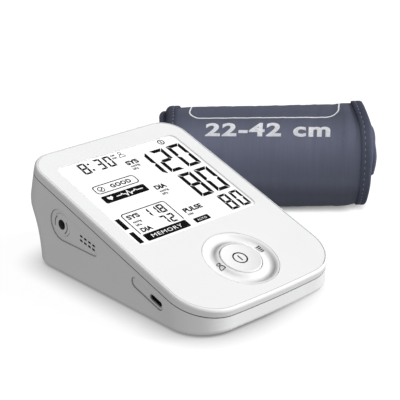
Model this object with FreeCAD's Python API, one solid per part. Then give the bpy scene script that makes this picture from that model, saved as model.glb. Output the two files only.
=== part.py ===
import FreeCAD, Part
import os
import math

os.makedirs("parts", exist_ok=True)

# ------------------------------------------------------------------ driving dimensions (mm, degrees)
# Monitor housing: a wedge with a sloping top. x = width, y = depth from the front, z = up.
WIDTH = 106.0            # widest, at the seam
TOP_LENGTH = 146.6       # length of the sloping top, measured along the slope
SLOPE = 18.55            # slope of the top
FRONT_HEIGHT = 14.4      # height of the top plane where it meets the front
COVER_SIDE = 4.45        # height of the top cover's side, square to the slope
EDGE_ROUND = 1.6         # rounding of the top cover's edge
FRONT_CORNER = 24.0
BACK_CORNER = 15.0
WALL = 2.2
BASE_Z = 1.0             # underside of the lower case; the feet fill the gap to the table
BASE_HALF_FRONT = 52.0   # half width of the base at the front
BASE_HALF_BACK = 49.4    # and at the back
BASE_FRONT_Y = 2.4       # front of the base at its sides; it bows forward between them
BASE_BACK_Y = 141.3
BASE_CORNER = 21.5
BASE_ROUND = 2.4
# the back wall, from below up: it leans out to a soft bend, then runs square to the sloping top
BACK_PROFILE = [(141.3, 9.0), (141.6, 15.5), (142.35, 21.5), (143.7, 27.5), (145.2, 32.0), (146.15, 35.5), (146.15, 38.2),
                (145.65, 41.2)]
SEAM_GAP = 0.5

# Display
WIN_X = 42.5
WIN_Y0, WIN_Y1 = 58.8, 132.1
WIN_CORNER = 4.0
LENS_T = 0.8

# Dished round control
DISH_Y = 27.8
DISH_R = 20.85           # hole in the cover
RING_R = 20.6            # ring key, outside
RING_BORE = 11.75
BUTTON_R = 11.4
RING_MID = 16.1          # lowest circle of the ring key's trough
RING_BEND = 2.5          # from there to where the trough's sides turn over
RING_SLOPE = 40.0        # steepest slope of its sides, degrees
RING_TOP = -0.06         # outer lip, just under the cover's face
RING_PIVOT_W = -4.0
PIN_R = 1.0

# Main board
BOARD_TOP_W = -8.8
BOARD_T = 1.6

# Left wall: air socket, sound holes, charging socket
JACK_Y, JACK_Z = 109.1, 31.5
TEAR_Y, TEAR_Z, TEAR_R = 109.9, 30.8, 9.25   # round end of the shallow recess
JACK_BORE_R = 2.75
JACK_FLANGE_R = 6.4
USB_YP = 32.2
USB_W = -12.03

# Battery bay and its cover
BAY_X = 31.0
BAY_Y0, BAY_Y1 = 58.5, 112.5
BAY_TOP = 18.4
DOOR_X = 33.0            # half width of the battery cover
DOOR_Y0 = 55.9
CELL_R = 7.1

# Pump
PUMP_Y, PUMP_Z = 120.0, 31.5
MOTOR_R = 11.0
HEAD_R = 11.4

# Rolled cuff: a slightly tapered roll lying on the table
CUFF_LEFT = (70.2, 160.4)
CUFF_RIGHT = (148.6, 65.0)
CUFF_R_LEFT = 29.0
CUFF_R_RIGHT = 32.5
CUFF_CORE_R = 10.5
BINDING_W = 7.0

SA, CA = math.sin(math.radians(SLOPE)), math.cos(math.radians(SLOPE))
V = FreeCAD.Vector


def top_pl():
    return FreeCAD.Placement(V(0, 0, FRONT_HEIGHT), FreeCAD.Rotation(V(1, 0, 0), SLOPE))


def tilt(shape):
    """From the sloping top's own coordinates (x, along slope, square to slope) to the world."""
    s = shape.copy()
    s.Placement = top_pl().multiply(s.Placement)
    return s


def on_top(x, yp, w):
    return V(x, yp * CA - w * SA, FRONT_HEIGHT + yp * SA + w * CA)


def box(x0, x1, y0, y1, z0, z1):
    return Part.makeBox(x1 - x0, y1 - y0, z1 - z0, V(x0, y0, z0))


def cyl(r, p, d, h):
    return Part.makeCylinder(r, h, V(*p), V(*d))


def fuse(first, *rest):
    s = first.multiFuse(list(rest)) if rest else first
    return s.removeSplitter()


# ------------------------------------------------------------------ rounded polygons
def inset(pts, d):
    n = len(pts)
    lines = []
    for i in range(n):
        (x0, y0), (x1, y1) = pts[i], pts[(i + 1) % n]
        length = math.hypot(x1 - x0, y1 - y0)
        nx, ny = -(y1 - y0) / length, (x1 - x0) / length
        lines.append(((x0 + nx * d, y0 + ny * d), (x1 - x0, y1 - y0)))
    out = []
    for i in range(n):
        (ax, ay), (ux, uy) = lines[i - 1]
        (bx, by), (vx, vy) = lines[i]
        den = ux * vy - uy * vx
        s = ((bx - ax) * vy - (by - ay) * vx) / den
        out.append((ax + ux * s, ay + uy * s))
    return out


def rounded(pts, radii, to3d):
    n = len(pts)
    arcs = []
    for i in range(n):
        px, py = pts[i]
        ax, ay = pts[i - 1]
        bx, by = pts[(i + 1) % n]
        la, lb = math.hypot(ax - px, ay - py), math.hypot(bx - px, by - py)
        ua = ((ax - px) / la, (ay - py) / la)
        ub = ((bx - px) / lb, (by - py) / lb)
        ang = math.acos(max(-1, min(1, ua[0] * ub[0] + ua[1] * ub[1])))
        t = radii[i] / math.tan(ang / 2)
        bis = (ua[0] + ub[0], ua[1] + ub[1])
        lbis = math.hypot(*bis)
        dist = radii[i] / math.sin(ang / 2)
        cx, cy = px + bis[0] / lbis * dist, py + bis[1] / lbis * dist
        p1 = (px + ua[0] * t, py + ua[1] * t)
        p2 = (px + ub[0] * t, py + ub[1] * t)
        pm = (cx - bis[0] / lbis * radii[i], cy - bis[1] / lbis * radii[i])
        arcs.append((p1, pm, p2))
    edges = []
    for i in range(n):
        p1, pm, p2 = arcs[i]
        edges.append(Part.Arc(to3d(*p1), to3d(*pm), to3d(*p2)).toShape())
        q = arcs[(i + 1) % n][0]
        edges.append(Part.makeLine(to3d(*p2), to3d(*q)))
    return Part.Wire(edges)


HALF = WIDTH / 2
TOP_PTS = [(-HALF, 0.9), (0.0, -1.2), (HALF, 0.9), (HALF, TOP_LENGTH), (-HALF, TOP_LENGTH)]
TOP_RAD = [FRONT_CORNER, 700.0, FRONT_CORNER, BACK_CORNER, BACK_CORNER]
BASE_PTS = [(-BASE_HALF_FRONT, BASE_FRONT_Y), (0.0, BASE_FRONT_Y - 1.7), (BASE_HALF_FRONT, BASE_FRONT_Y),
            (BASE_HALF_BACK, BASE_BACK_Y), (-BASE_HALF_BACK, BASE_BACK_Y)]
BASE_RAD = [BASE_CORNER, 700.0, BASE_CORNER, BACK_CORNER, BACK_CORNER]


def shrink(radii, d):
    return [r - d for r in radii]


def top_outline(d, w):
    """Outline of the cover, inset by d, at height w over the sloping plane (own coordinates)."""
    return rounded(inset(TOP_PTS, d), shrink(TOP_RAD, d), lambda x, y: V(x, y, w))


def seam_outline(d):
    return rounded(inset(TOP_PTS, d), shrink(TOP_RAD, d), lambda x, y: on_top(x, y, -COVER_SIDE))


def base_outline(d, z):
    return rounded(inset(BASE_PTS, d), shrink(BASE_RAD, d), lambda x, y: V(x, y, z))


def level_outline(d, yb, zb):
    """Outline between the base and the seam whose back edge is at depth yb and height zb."""
    tan = SA / CA
    seam_z = FRONT_HEIGHT - COVER_SIDE / CA
    f = (zb - BASE_Z) / (seam_z + yb * tan - BASE_Z)
    ang = math.atan(f * tan)
    sa, ca = math.sin(ang), math.cos(ang)
    z0 = BASE_Z * (1 - f) + seam_z * f

    def mix(a, b):
        return a * (1 - f) + b * f

    def front(i):
        (bx, by), (tx, ty) = BASE_PTS[i], TOP_PTS[i]
        return mix(bx, tx), mix(by, ty * CA + COVER_SIDE * SA) / ca

    lean = (BASE_HALF_FRONT - BASE_HALF_BACK) / (BASE_BACK_Y - BASE_FRONT_Y)
    half = mix(BASE_HALF_FRONT - lean * (yb - BASE_FRONT_Y), HALF)
    pts = [front(0), front(1), front(2), (half, yb / ca), (-half, yb / ca)]
    rad = [mix(a, b) for a, b in zip(BASE_RAD, TOP_RAD)]
    return rounded(inset(pts, d), shrink(rad, d), lambda x, y: V(x, y * ca, z0 + y * sa))


def case_body(d, z=BASE_Z):
    """The lower case's drafted outside, inset by d."""
    levels = [level_outline(d, yb, zb) for yb, zb in BACK_PROFILE]
    return Part.makeLoft([base_outline(d, z)] + levels + [seam_outline(d)], True, RULED)


def prism(wire, vec):
    return Part.Face(wire).extrude(vec)


def rrect(x0, x1, y0, y1, r, z):
    pts = [(x0, y0), (x1, y0), (x1, y1), (x0, y1)]
    return rounded(pts, [r] * 4, lambda x, y: V(x, y, z))


def fillet_edges(shape, r, pick):
    edges = [e for e in shape.Edges if pick(e)]
    return shape.makeFillet(r, edges)


def revolved(points, axis_p, axis_d, ref):
    """Ring from a closed (r, h) outline; ('arc', mid, end) items make an arc."""
    ad = V(*axis_d)
    ad.normalize()
    rd = V(*ref)
    o = V(*axis_p)

    def p3(p):
        return o + rd * p[0] + ad * p[1]

    edges = []
    cur = points[0]
    for item in points[1:]:
        if item[0] == "arc":
            edges.append(Part.Arc(p3(cur), p3(item[1]), p3(item[2])).toShape())
            cur = item[2]
        else:
            edges.append(Part.makeLine(p3(cur), p3(item)))
            cur = item
    edges.append(Part.makeLine(p3(cur), p3(points[0])))
    return Part.Face(Part.Wire(edges)).revolve(o, ad, 360)


def tube_path(pts, bend):
    """Polyline with rounded bends, as one wire."""
    ps = [V(*p) for p in pts]
    edges = []
    cur = ps[0]
    for i in range(1, len(ps) - 1):
        a, b, c = ps[i - 1], ps[i], ps[i + 1]
        ua, uc = (a - b), (c - b)
        la, lc = ua.Length, uc.Length
        ua.normalize()
        uc.normalize()
        ang = ua.getAngle(uc)
        r = bend
        t = r / math.tan(ang / 2)
        tmax = 0.48 * min(la, lc)
        if t > tmax:
            t = tmax
            r = t * math.tan(ang / 2)
        p1, p2 = b + ua * t, b + uc * t
        bis = ua + uc
        bis.normalize()
        cen = b + bis * (r / math.sin(ang / 2))
        pm = cen - bis * r
        edges.append(Part.makeLine(cur, p1))
        edges.append(Part.Arc(p1, pm, p2).toShape())
        cur = p2
    edges.append(Part.makeLine(cur, ps[-1]))
    return Part.Wire(edges)


def swept(path, r):
    e = path.Edges[0]
    d = e.tangentAt(e.FirstParameter)
    prof = Part.Wire([Part.makeCircle(r, e.valueAt(e.FirstParameter), d)])
    return path.makePipeShell([prof], True, False)


def hose(pts, ro, ri, bend):
    path = tube_path(pts, bend)
    return swept(path, ro).cut(swept(path, ri))


RULED = True
NODES = {}


def node(name, shape):
    NODES[name] = shape


# ================================================================== lower case
outer = case_body(0.0)
outer = fillet_edges(outer, BASE_ROUND,
                     lambda e: all(abs(v.Point.z - BASE_Z) < 1e-4 for v in e.Vertexes))
inner = case_body(WALL).cut(box(-80, 80, -20, 180, -5, BASE_Z + WALL))
case = outer.cut(inner)

# shadow gap under the cover's edge
groove = prism(top_outline(-2.0, -COVER_SIDE - SEAM_GAP), V(0, 0, SEAM_GAP + 1)).cut(
    prism(top_outline(1.3, -COVER_SIDE - SEAM_GAP - 1), V(0, 0, SEAM_GAP + 3)))
case = case.cut(tilt(groove))

# lip that centres the cover
lip_low = prism(top_outline(1.5, -7.2), V(0, 0, 2.1)).cut(prism(top_outline(3.3, -8), V(0, 0, 4)))
lip_high = prism(top_outline(2.3, -5.2), V(0, 0, 1.8)).cut(prism(top_outline(3.3, -8), V(0, 0, 8)))
case = case.fuse(tilt(lip_low).common(outer)).fuse(tilt(lip_high))

# thicker floor around the battery cover's runners, bay walls and bay roof
pad = box(-38.2, 38.2, 52.5, 139.4, BASE_Z + 1.0, 4.7)
bay = box(-BAY_X - 1.5, BAY_X + 1.5, BAY_Y0 - 1.5, BAY_Y1 + 1.5, 4.0, BAY_TOP + 1.5)
case = case.fuse(pad).fuse(bay)

# pillars for the case screws
PILLARS = [(-36.0, 14.0, 9.0, 3.2), (36.0, 14.0, 9.0, 3.2), (-44.0, 49.5, 16.0, 3.4), (44.0, 49.5, 16.0, 3.4)]
for px, py, pz, pr in PILLARS:
    case = case.fuse(cyl(pr, (px, py, BASE_Z + 1), (0, 0, 1), pz - BASE_Z - 1))

# saddles under the pump and the pedestal of the valve
for sx in (5.5, 21.5):
    case = case.fuse(box(sx, sx + 2.5, 114.0, 127.2, 3.0, 29.0))
case = case.fuse(box(35.0, 45.0, 114.6, 125.4, 3.0, 21.9))
# ring that holds the sounder behind the sound holes
case = case.fuse(cyl(10.2, (-51.0, 87.3, 27.7), (1, 0, 0), 4.2).common(outer))

# cuts
case = case.cut(cyl(8.9, (-49.75, 87.3, 27.7), (1, 0, 0), 12))
case = case.cut(box(-BAY_X, BAY_X, BAY_Y0, BAY_Y1, 0, BAY_TOP))
case = case.cut(cyl(12.7, (-10, PUMP_Y, PUMP_Z), (1, 0, 0), 44))


def runner(gap, y0, y1):
    """Tee-shaped section of the battery cover: a narrow plate with a wider tongue on top."""
    lower = box(-DOOR_X - gap, DOOR_X + gap, y0, y1, BASE_Z - 3, 3.0 + gap * 0.8)
    upper = box(-DOOR_X - 2.0 - gap, DOOR_X + 2.0 + gap, y0, y1, 2.15 - gap * 0.4, 3.0 + gap * 0.8)
    return lower, upper


lo, up = runner(0.3, DOOR_Y0 - 0.3, 160.0)
case = case.cut(lo).cut(up)
for px, py, pz, pr in PILLARS:
    head_z = pz - 4.4
    case = case.cut(cyl(1.35, (px, py, BASE_Z - 2), (0, 0, 1), pz + 4))
    case = case.cut(cyl(2.9, (px, py, BASE_Z - 2), (0, 0, 1), head_z - BASE_Z + 2))

# feet pockets
FEET = [(-41.0, 31.0), (41.0, 31.0), (-41.5, 112.0), (41.5, 112.0)]
for fx, fy in FEET:
    case = case.cut(cyl(4.55, (fx, fy, BASE_Z - 1), (0, 0, 1), 1.7))


# teardrop recess around the air socket and the sound holes
def yz(y, z):
    return V(-62.0, y, z)


tear_r = TEAR_R
# lower edge level, upper edge parallel to the seam, blunt front end
end_y, end_r = 79.6, 3.4
low_z = TEAR_Z - tear_r
p_low_a, p_low_b = (TEAR_Y, low_z), (end_y + end_r, low_z)
p_up_a = (TEAR_Y - SA * tear_r, TEAR_Z + CA * tear_r)
run = (p_up_a[0] - (end_y + 3.0)) / CA
p_up_b = (end_y + 3.0, p_up_a[1] - run * SA)
p_back = (TEAR_Y + tear_r, TEAR_Z)
tear_edges = [
    Part.Arc(yz(*p_low_a), yz(*p_back), yz(*p_up_a)).toShape(),
    Part.makeLine(yz(*p_up_a), yz(*p_up_b)),
    Part.makeLine(yz(*p_up_b), yz(end_y, p_up_b[1] - 3.2)),
    Part.makeLine(yz(end_y, p_up_b[1] - 3.2), yz(end_y, low_z + end_r)),
    Part.Arc(yz(end_y, low_z + end_r),
             yz(end_y + end_r * (1 - math.sqrt(0.5)), low_z + end_r * (1 - math.sqrt(0.5))),
             yz(*p_low_b)).toShape(),
    Part.makeLine(yz(*p_low_b), yz(*p_low_a)),
]
tear = Part.Face(Part.Wire(tear_edges)).extrude(V(30, 0, 0))
skin = case_body(0.65)
case = case.cut(tear.cut(skin))

# stadium recess with the charging slot at its front end
USB_Y0, USB_LEN, USB_H = 26.1, 24.9, 6.6
stad = rounded([(USB_Y0, USB_W - USB_H / 2), (USB_Y0 + USB_LEN, USB_W - USB_H / 2),
                (USB_Y0 + USB_LEN, USB_W + USB_H / 2), (USB_Y0, USB_W + USB_H / 2)],
               [USB_H / 2 - 0.05] * 4, lambda y, w: V(-62, y, w))
stad = tilt(Part.Face(stad).extrude(V(30, 0, 0)))
case = case.cut(stad.cut(case_body(0.7)))


def slot_prism(ly, lw, x0, x1):
    """Stadium-shaped bar along x, at the charging slot."""
    wire = rounded([(USB_YP - ly / 2, USB_W - lw / 2), (USB_YP + ly / 2, USB_W - lw / 2),
                    (USB_YP + ly / 2, USB_W + lw / 2), (USB_YP - ly / 2, USB_W + lw / 2)],
                   [lw / 2 - 0.02] * 4, lambda y, w: V(x0, y, w))
    return tilt(Part.Face(wire).extrude(V(x1 - x0, 0, 0)))


case = case.cut(slot_prism(9.3, 3.6, -62, -44))

# sound holes: two rows of four
VENTS = [(93.05, 29.7), (89.65, 29.0), (86.25, 28.3), (82.85, 27.6),
         (93.4, 27.0), (90.0, 26.4), (86.6, 25.8), (83.2, 25.2)]
for vy, vz in VENTS:
    slit = rounded([(vy - 1.1, vz - 0.85), (vy + 1.1, vz - 0.4), (vy + 1.1, vz + 0.85), (vy - 1.1, vz + 0.4)],
                   [0.3] * 4, lambda y, z: V(-60, y, z))
    case = case.cut(prism(slit, V(12, 0, 0)))

# seat and hole of the air socket
case = case.cut(cyl(JACK_FLANGE_R + 0.1, (-60, JACK_Y, JACK_Z), (1, 0, 0), 9.4))
case = case.cut(cyl(5.1, (-60, JACK_Y, JACK_Z), (1, 0, 0), 14))
case = case.removeSplitter()
node("lower_case", case)

# ================================================================== battery cover
lo, up = runner(0.0, DOOR_Y0, 160.0)
door = lo.fuse(up).common(outer)
# finger grip: shallow ribs near the front end of the cover
for i in range(6):
    door = door.cut(box(-16.0, 16.0, 62.0 + i * 2.2, 63.1 + i * 2.2, BASE_Z - 1, BASE_Z + 0.5))
node("battery_cover", door.removeSplitter())

# ================================================================== feet and case screws
feet = []
for fx, fy in FEET:
    f = cyl(4.5, (fx, fy, 0.0), (0, 0, 1), BASE_Z + 0.68)
    feet.append(fillet_edges(f, 0.4, lambda e: abs(e.BoundBox.ZMax) < 1e-4))
node("rubber_feet", Part.makeCompound(feet))

screws = []
for px, py, pz, pr in PILLARS:
    head_z = pz - 4.4
    s = cyl(2.6, (px, py, head_z - 2.0), (0, 0, 1), 1.95).fuse(cyl(1.2, (px, py, head_z - 0.2), (0, 0, 1), 9.0))
    s = s.cut(box(px - 1.5, px + 1.5, py - 0.35, py + 0.35, head_z - 2.2, head_z - 1.0))
    s = s.cut(box(px - 0.35, px + 0.35, py - 1.5, py + 1.5, head_z - 2.2, head_z - 1.0))
    screws.append(s.removeSplitter())
node("case_screws", Part.makeCompound(screws))

# ================================================================== top cover
cov = prism(top_outline(0.0, -COVER_SIDE), V(0, 0, COVER_SIDE))
cov = fillet_edges(cov, EDGE_ROUND, lambda e: all(abs(v.Point.z) < 1e-6 for v in e.Vertexes))
hollow = prism(top_outline(WALL, -COVER_SIDE - 2), V(0, 0, COVER_SIDE + 2 - WALL))
hollow = fillet_edges(hollow, 1.5, lambda e: all(abs(v.Point.z + WALL) < 1e-6 for v in e.Vertexes))
cov = cov.cut(hollow)
# collar round the dished control and bearings of the ring key's pins
cov = cov.fuse(cyl(DISH_R + 1.4, (0, DISH_Y, -5.4), (0, 0, 1), 4.2))
for sgn in (-1, 1):
    yb = DISH_Y + sgn * 22.6
    cov = cov.fuse(box(-2.6, 2.6, min(yb - 1.2, yb + 1.2), max(yb - 1.2, yb + 1.2), -6.2, -1.5))
cov = cov.cut(cyl(DISH_R, (0, DISH_Y, -8), (0, 0, 1), 12))
for sgn in (-1, 1):
    cov = cov.cut(cyl(PIN_R + 0.05, (0, DISH_Y + sgn * 18.0, RING_PIVOT_W), (0, sgn, 0), 7.0))
# display window
cov = cov.cut(prism(rrect(-WIN_X, WIN_X, WIN_Y0, WIN_Y1, WIN_CORNER, -6), V(0, 0, 9)))
# board bosses
BOARD_SCREWS = [(-27.0, 8.6), (27.0, 8.6), (-31.0, 51.2), (31.0, 51.2), (-30.0, 138.0), (30.0, 138.0)]
for bx, by in BOARD_SCREWS:
    b = cyl(2.2, (bx, by, BOARD_TOP_W), (0, 0, 1), -BOARD_TOP_W - 1.5)
    cov = cov.fuse(b).cut(cyl(0.95, (bx, by, BOARD_TOP_W - 1), (0, 0, 1), 7.2))
# snap tabs at the back
for tx in (-12.0, 12.0):
    cov = cov.fuse(box(tx - 4, tx + 4, 140.2, 141.4, -8.0, -1.5))
cover = tilt(cov)
# bosses over the case pillars
for px, py, pz, pr in PILLARS:
    full = tilt(prism(top_outline(1.0, -60), V(0, 0, 59.0)))
    b = cyl(2.9, (px, py, pz), (0, 0, 1), 40).common(full)
    cover = cover.fuse(b)
    cover = cover.cut(cyl(1.25, (px, py, pz - 1), (0, 0, 1), 6.4))
cover = cover.removeSplitter()
node("top_cover", cover)

# ================================================================== display stack
lens = prism(rrect(-WIN_X + 0.1, WIN_X - 0.1, WIN_Y0 + 0.1, WIN_Y1 - 0.1, WIN_CORNER - 0.1, -LENS_T), V(0, 0, LENS_T))
lens = fillet_edges(lens, 0.25, lambda e: all(abs(v.Point.z) < 1e-6 for v in e.Vertexes))
node("display_lens", tilt(lens))
# the panel's upper glass stands up into the window, close under the lens
lcd = box(-44.6, 44.6, 56.0, 133.9, -4.5, -2.3)
lcd = lcd.fuse(prism(rrect(-WIN_X + 0.12, WIN_X - 0.12, WIN_Y0 + 0.12, WIN_Y1 - 0.12, WIN_CORNER - 0.12, -2.6),
                     V(0, 0, 2.6 - LENS_T - 0.06)))
node("lcd_panel", tilt(lcd.removeSplitter()))
back = box(-44.6, 44.6, 60.2, 133.9, -7.2, -4.6)
node("backlight_plate", tilt(back))
zebra = [box(-42, 42, 56.4, 58.0, BOARD_TOP_W + 0.05, -4.55)]
node("zebra_strip", tilt(zebra[0]))
frame = box(-46.3, 46.3, 54.2, 135.4, BOARD_TOP_W + 0.05, -2.3)
frame = frame.cut(box(-44.75, 44.75, 55.85, 134.05, -12, 0))
shelf = box(-46.3, 46.3, 59.0, 135.4, BOARD_TOP_W + 0.05, -7.3).cut(box(-41, 41, 63.5, 131, -12, 0))
frame = frame.fuse(shelf).removeSplitter()
node("lcd_frame", tilt(frame))

# ================================================================== main board
board = prism(rrect(-46.0, 46.0, 5.6, 139.6, 4.0, BOARD_TOP_W - BOARD_T), V(0, 0, BOARD_T))
board = board.cut(prism(rrect(-60.0, -37.0, -4.0, 15.6, 3.0, -14), V(0, 0, 9)))
board = board.cut(prism(rrect(37.0, 60.0, -4.0, 15.6, 3.0, -14), V(0, 0, 9)))
for px, py, pz, pr in PILLARS:
    # the boss crosses the board square to the table: a slot along the slope clears it
    zc = FRONT_HEIGHT + py * math.tan(math.radians(SLOPE)) - 9.6 / CA
    yp = py * CA + (zc - FRONT_HEIGHT) * SA
    board = board.cut(prism(rrect(px - 3.6, px + 3.6, yp - 4.2, yp + 4.2, 3.4, -14), V(0, 0, 9)))
for bx, by in BOARD_SCREWS:
    board = board.cut(cyl(1.2, (bx, by, -14), (0, 0, 1), 9))
node("main_board", tilt(board))

chips = [box(-8, 8, 82, 98, -12.0, -10.45), box(14, 22, 84, 90, -11.9, -10.45), box(16, 26, 100, 105, -12.1, -10.45),
         box(-32, -26, 70, 74, -11.8, -10.45), box(28, 33, 70, 78, -12.4, -10.45), box(-34, -31, 30, 38, -11.6, -10.45),
         cyl(2.5, (24, 62, -13.5), (0, 0, 1), 3.05), cyl(2.5, (31, 62, -13.5), (0, 0, 1), 3.05)]
node("board_chips", tilt(Part.makeCompound(chips)))

bscrews = []
for bx, by in BOARD_SCREWS:
    s = cyl(1.9, (bx, by, -11.8), (0, 0, 1), 1.35).fuse(cyl(0.9, (bx, by, -11), (0, 0, 1), 6.8))
    s = s.cut(box(bx - 1.2, bx + 1.2, by - 0.25, by + 0.25, -12, -11.2)).cut(
        box(bx - 0.25, bx + 0.25, by - 1.2, by + 1.2, -12, -11.2))
    bscrews.append(s)
node("board_screws", tilt(Part.makeCompound(bscrews)))

# charging socket: metal shell with a tongue, on the underside of the board's left edge
shell_len = (-51.35, -43.6)
usb = slot_prism(8.94, 3.2, shell_len[0], shell_len[1]).cut(slot_prism(8.3, 2.56, shell_len[0] - 1, shell_len[1] - 1.2))
node("charge_shell", usb.removeSplitter())
tongue = tilt(box(shell_len[0] + 1.4, shell_len[1] - 1.22, USB_YP - 3.3, USB_YP + 3.3, USB_W - 0.35, USB_W + 0.35))
node("charge_tongue", tongue)

# ================================================================== keys
# a soft trough: rounded outer lip, hollow, rounded inner lip, all running smoothly into each other
k_half, k_quart = math.tan(math.radians(RING_SLOPE / 2)), math.radians(RING_SLOPE / 2)
lip_out = (RING_R - RING_MID - RING_BEND) / math.sin(math.radians(RING_SLOPE))
lip_in = (RING_MID - RING_BEND - RING_BORE) / math.sin(math.radians(RING_SLOPE))
turn_w = RING_TOP - (RING_R - RING_MID - RING_BEND) * k_half
low_w = turn_w - RING_BEND * k_half
in_w = turn_w + (RING_MID - RING_BEND - RING_BORE) * k_half
ring = revolved([(RING_R, RING_TOP),
                 ("arc", (RING_R - lip_out * math.sin(k_quart), RING_TOP - lip_out * (1 - math.cos(k_quart))),
                  (RING_MID + RING_BEND, turn_w)),
                 ("arc", (RING_MID, low_w), (RING_MID - RING_BEND, turn_w)),
                 ("arc", (RING_BORE + lip_in * math.sin(k_quart), in_w - lip_in * (1 - math.cos(k_quart))), (RING_BORE, in_w)),
                 (RING_BORE, -5.2),
                 (RING_BORE + 1.2, -5.2), (RING_BORE + 1.2, -3.9), (RING_R - 1.3, -3.9), (RING_R - 1.3, -5.2),
                 (RING_R, -5.2)], (0, DISH_Y, 0), (0, 0, 1), (1, 0, 0))
for sgn in (-1, 1):
    ring = ring.fuse(cyl(PIN_R, (0, DISH_Y + sgn * (RING_R - 0.8), RING_PIVOT_W), (0, sgn, 0), 3.1))
    ring = ring.fuse(cyl(1.9, (sgn * 16.1, DISH_Y, -5.1), (0, 0, 1), 2.0))
node("ring_key", tilt(ring.removeSplitter()))
rdomes = []
for sgn in (-1, 1):
    rdomes.append(Part.makeCone(3.4, 2.0, 3.5, V(sgn * 16.1, DISH_Y, BOARD_TOP_W + 0.02), V(0, 0, 1)))
node("ring_key_domes", tilt(Part.makeCompound(rdomes)))

btn = revolved([(0.0, -0.75), ("arc", (6.2, -0.50), (BUTTON_R - 0.9, 0.18)), ("arc", (BUTTON_R - 0.30, 0.10), (BUTTON_R, -0.45)),
                (BUTTON_R, -5.6), (BUTTON_R - 1.3, -5.6), (BUTTON_R - 1.3, -2.6), (3.0, -2.6), (3.0, -6.5), (0.0, -6.5)],
               (0, DISH_Y, 0), (0, 0, 1), (1, 0, 0))
node("start_button", tilt(btn))
sdome = Part.makeCone(6.0, 3.2, 2.2, V(0, DISH_Y, BOARD_TOP_W + 0.02), V(0, 0, 1))
node("start_key_dome", tilt(sdome))

# ================================================================== air socket on the left wall
jf = JACK_FLANGE_R
jack = cyl(jf, (-51.95, JACK_Y, JACK_Z), (1, 0, 0), 1.3)
jack = fillet_edges(jack, 0.5, lambda e: abs(e.BoundBox.XMax + 51.95) < 1e-4)
jack = jack.fuse(cyl(5.0, (-51.0, JACK_Y, JACK_Z), (1, 0, 0), 16.0))
MAN_X, MAN_Y, MAN_Z = -39.0, 126.5, 32.0
jack = jack.fuse(cyl(1.6, (MAN_X, JACK_Y, MAN_Z), (0, 1, 0), 9.6))
jack = jack.cut(cyl(JACK_BORE_R, (-53, JACK_Y, JACK_Z), (1, 0, 0), 11.0))
jack = jack.cut(cyl(0.9, (-44, JACK_Y, JACK_Z), (1, 0, 0), 5.6))
jack = jack.cut(cyl(0.9, (MAN_X, JACK_Y, MAN_Z), (0, 1, 0), 12.0))
node("air_jack", jack.removeSplitter())
oring = Part.makeTorus(5.85, 0.7, V(-48.75, JACK_Y, JACK_Z), V(1, 0, 0))
node("jack_o_ring", oring)
nut = prism(Part.makePolygon([V(-47.9, JACK_Y + 8.2 * math.cos(math.radians(60 * k)), JACK_Z + 8.2 * math.sin(math.radians(60 * k)))
                              for k in range(7)]), V(1.8, 0, 0))
nut = nut.cut(cyl(5.06, (-49, JACK_Y, JACK_Z), (1, 0, 0), 6))
node("jack_nut", nut)

# sounder behind the sound holes
buz = cyl(8.7, (-49.6, 87.3, 27.7), (1, 0, 0), 3.1).cut(cyl(1.2, (-50.6, 87.3, 27.7), (1, 0, 0), 2.2))
node("buzzer", buz.removeSplitter())

# ================================================================== pump
motor = cyl(MOTOR_R, (0.4, PUMP_Y, PUMP_Z), (1, 0, 0), 28.6)
motor = motor.cut(cyl(8.6, (3.0, PUMP_Y, PUMP_Z), (1, 0, 0), 23.4))
motor = motor.fuse(cyl(3.0, (29.0, PUMP_Y, PUMP_Z), (1, 0, 0), 1.6))
motor = motor.cut(cyl(1.06, (-1, PUMP_Y, PUMP_Z), (1, 0, 0), 31.0))
node("pump_motor", motor.removeSplitter())
rotor = cyl(1.0, (-7.6, PUMP_Y, PUMP_Z), (1, 0, 0), 36.6)
rotor = rotor.fuse(cyl(8.0, (4.4, PUMP_Y, PUMP_Z), (1, 0, 0), 20.6))
rotor = rotor.fuse(cyl(4.0, (-7.4, PUMP_Y, PUMP_Z + 1.0), (1, 0, 0), 4.6))
node("pump_rotor", rotor.removeSplitter())
head = cyl(HEAD_R, (-20.0, PUMP_Y, PUMP_Z), (1, 0, 0), 20.2)
head = head.cut(cyl(8.8, (-9.2, PUMP_Y, PUMP_Z), (1, 0, 0), 7.4))
head = head.cut(cyl(1.3, (-9.2, PUMP_Y, PUMP_Z), (1, 0, 0), 12.0))
head = head.fuse(cyl(1.6, (-25.0, MAN_Y, MAN_Z), (1, 0, 0), 6.0)).cut(cyl(0.9, (-26.0, MAN_Y, MAN_Z), (1, 0, 0), 12.0))
node("pump_head", head.removeSplitter())
sleeve = cyl(12.55, (4.2, PUMP_Y, PUMP_Z), (1, 0, 0), 21.2).cut(cyl(MOTOR_R + 0.06, (0, PUMP_Y, PUMP_Z), (1, 0, 0), 40))
# flattened under the board
sleeve = sleeve.cut(tilt(box(-60, 60, 0, 200, BOARD_TOP_W - BOARD_T - 0.15, 20)))
node("pump_mount", sleeve)

# ================================================================== air release valve
VX, VY = 40.0, 120.0
vb = box(VX - 6, VX + 6, VY - 6, VY + 6, 22.0, 35.5)
vb = vb.cut(cyl(3.0, (VX, VY, 24.2), (0, 0, 1), 8.8))
vb = vb.cut(cyl(1.58, (VX, VY, 21.0), (0, 0, 1), 4.0))
vb = vb.fuse(cyl(1.6, (VX, VY + 4.0, 35.3), (0, 0, 1), 4.4)).cut(cyl(0.9, (VX, VY + 4.0, 34.0), (0, 0, 1), 7))
node("valve_body", vb.removeSplitter())
vp = cyl(2.95, (VX, VY, 25.2), (0, 0, 1), 5.0).fuse(cyl(1.5, (VX, VY, 22.6), (0, 0, 1), 2.8))
node("valve_plunger", vp.removeSplitter())
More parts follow.
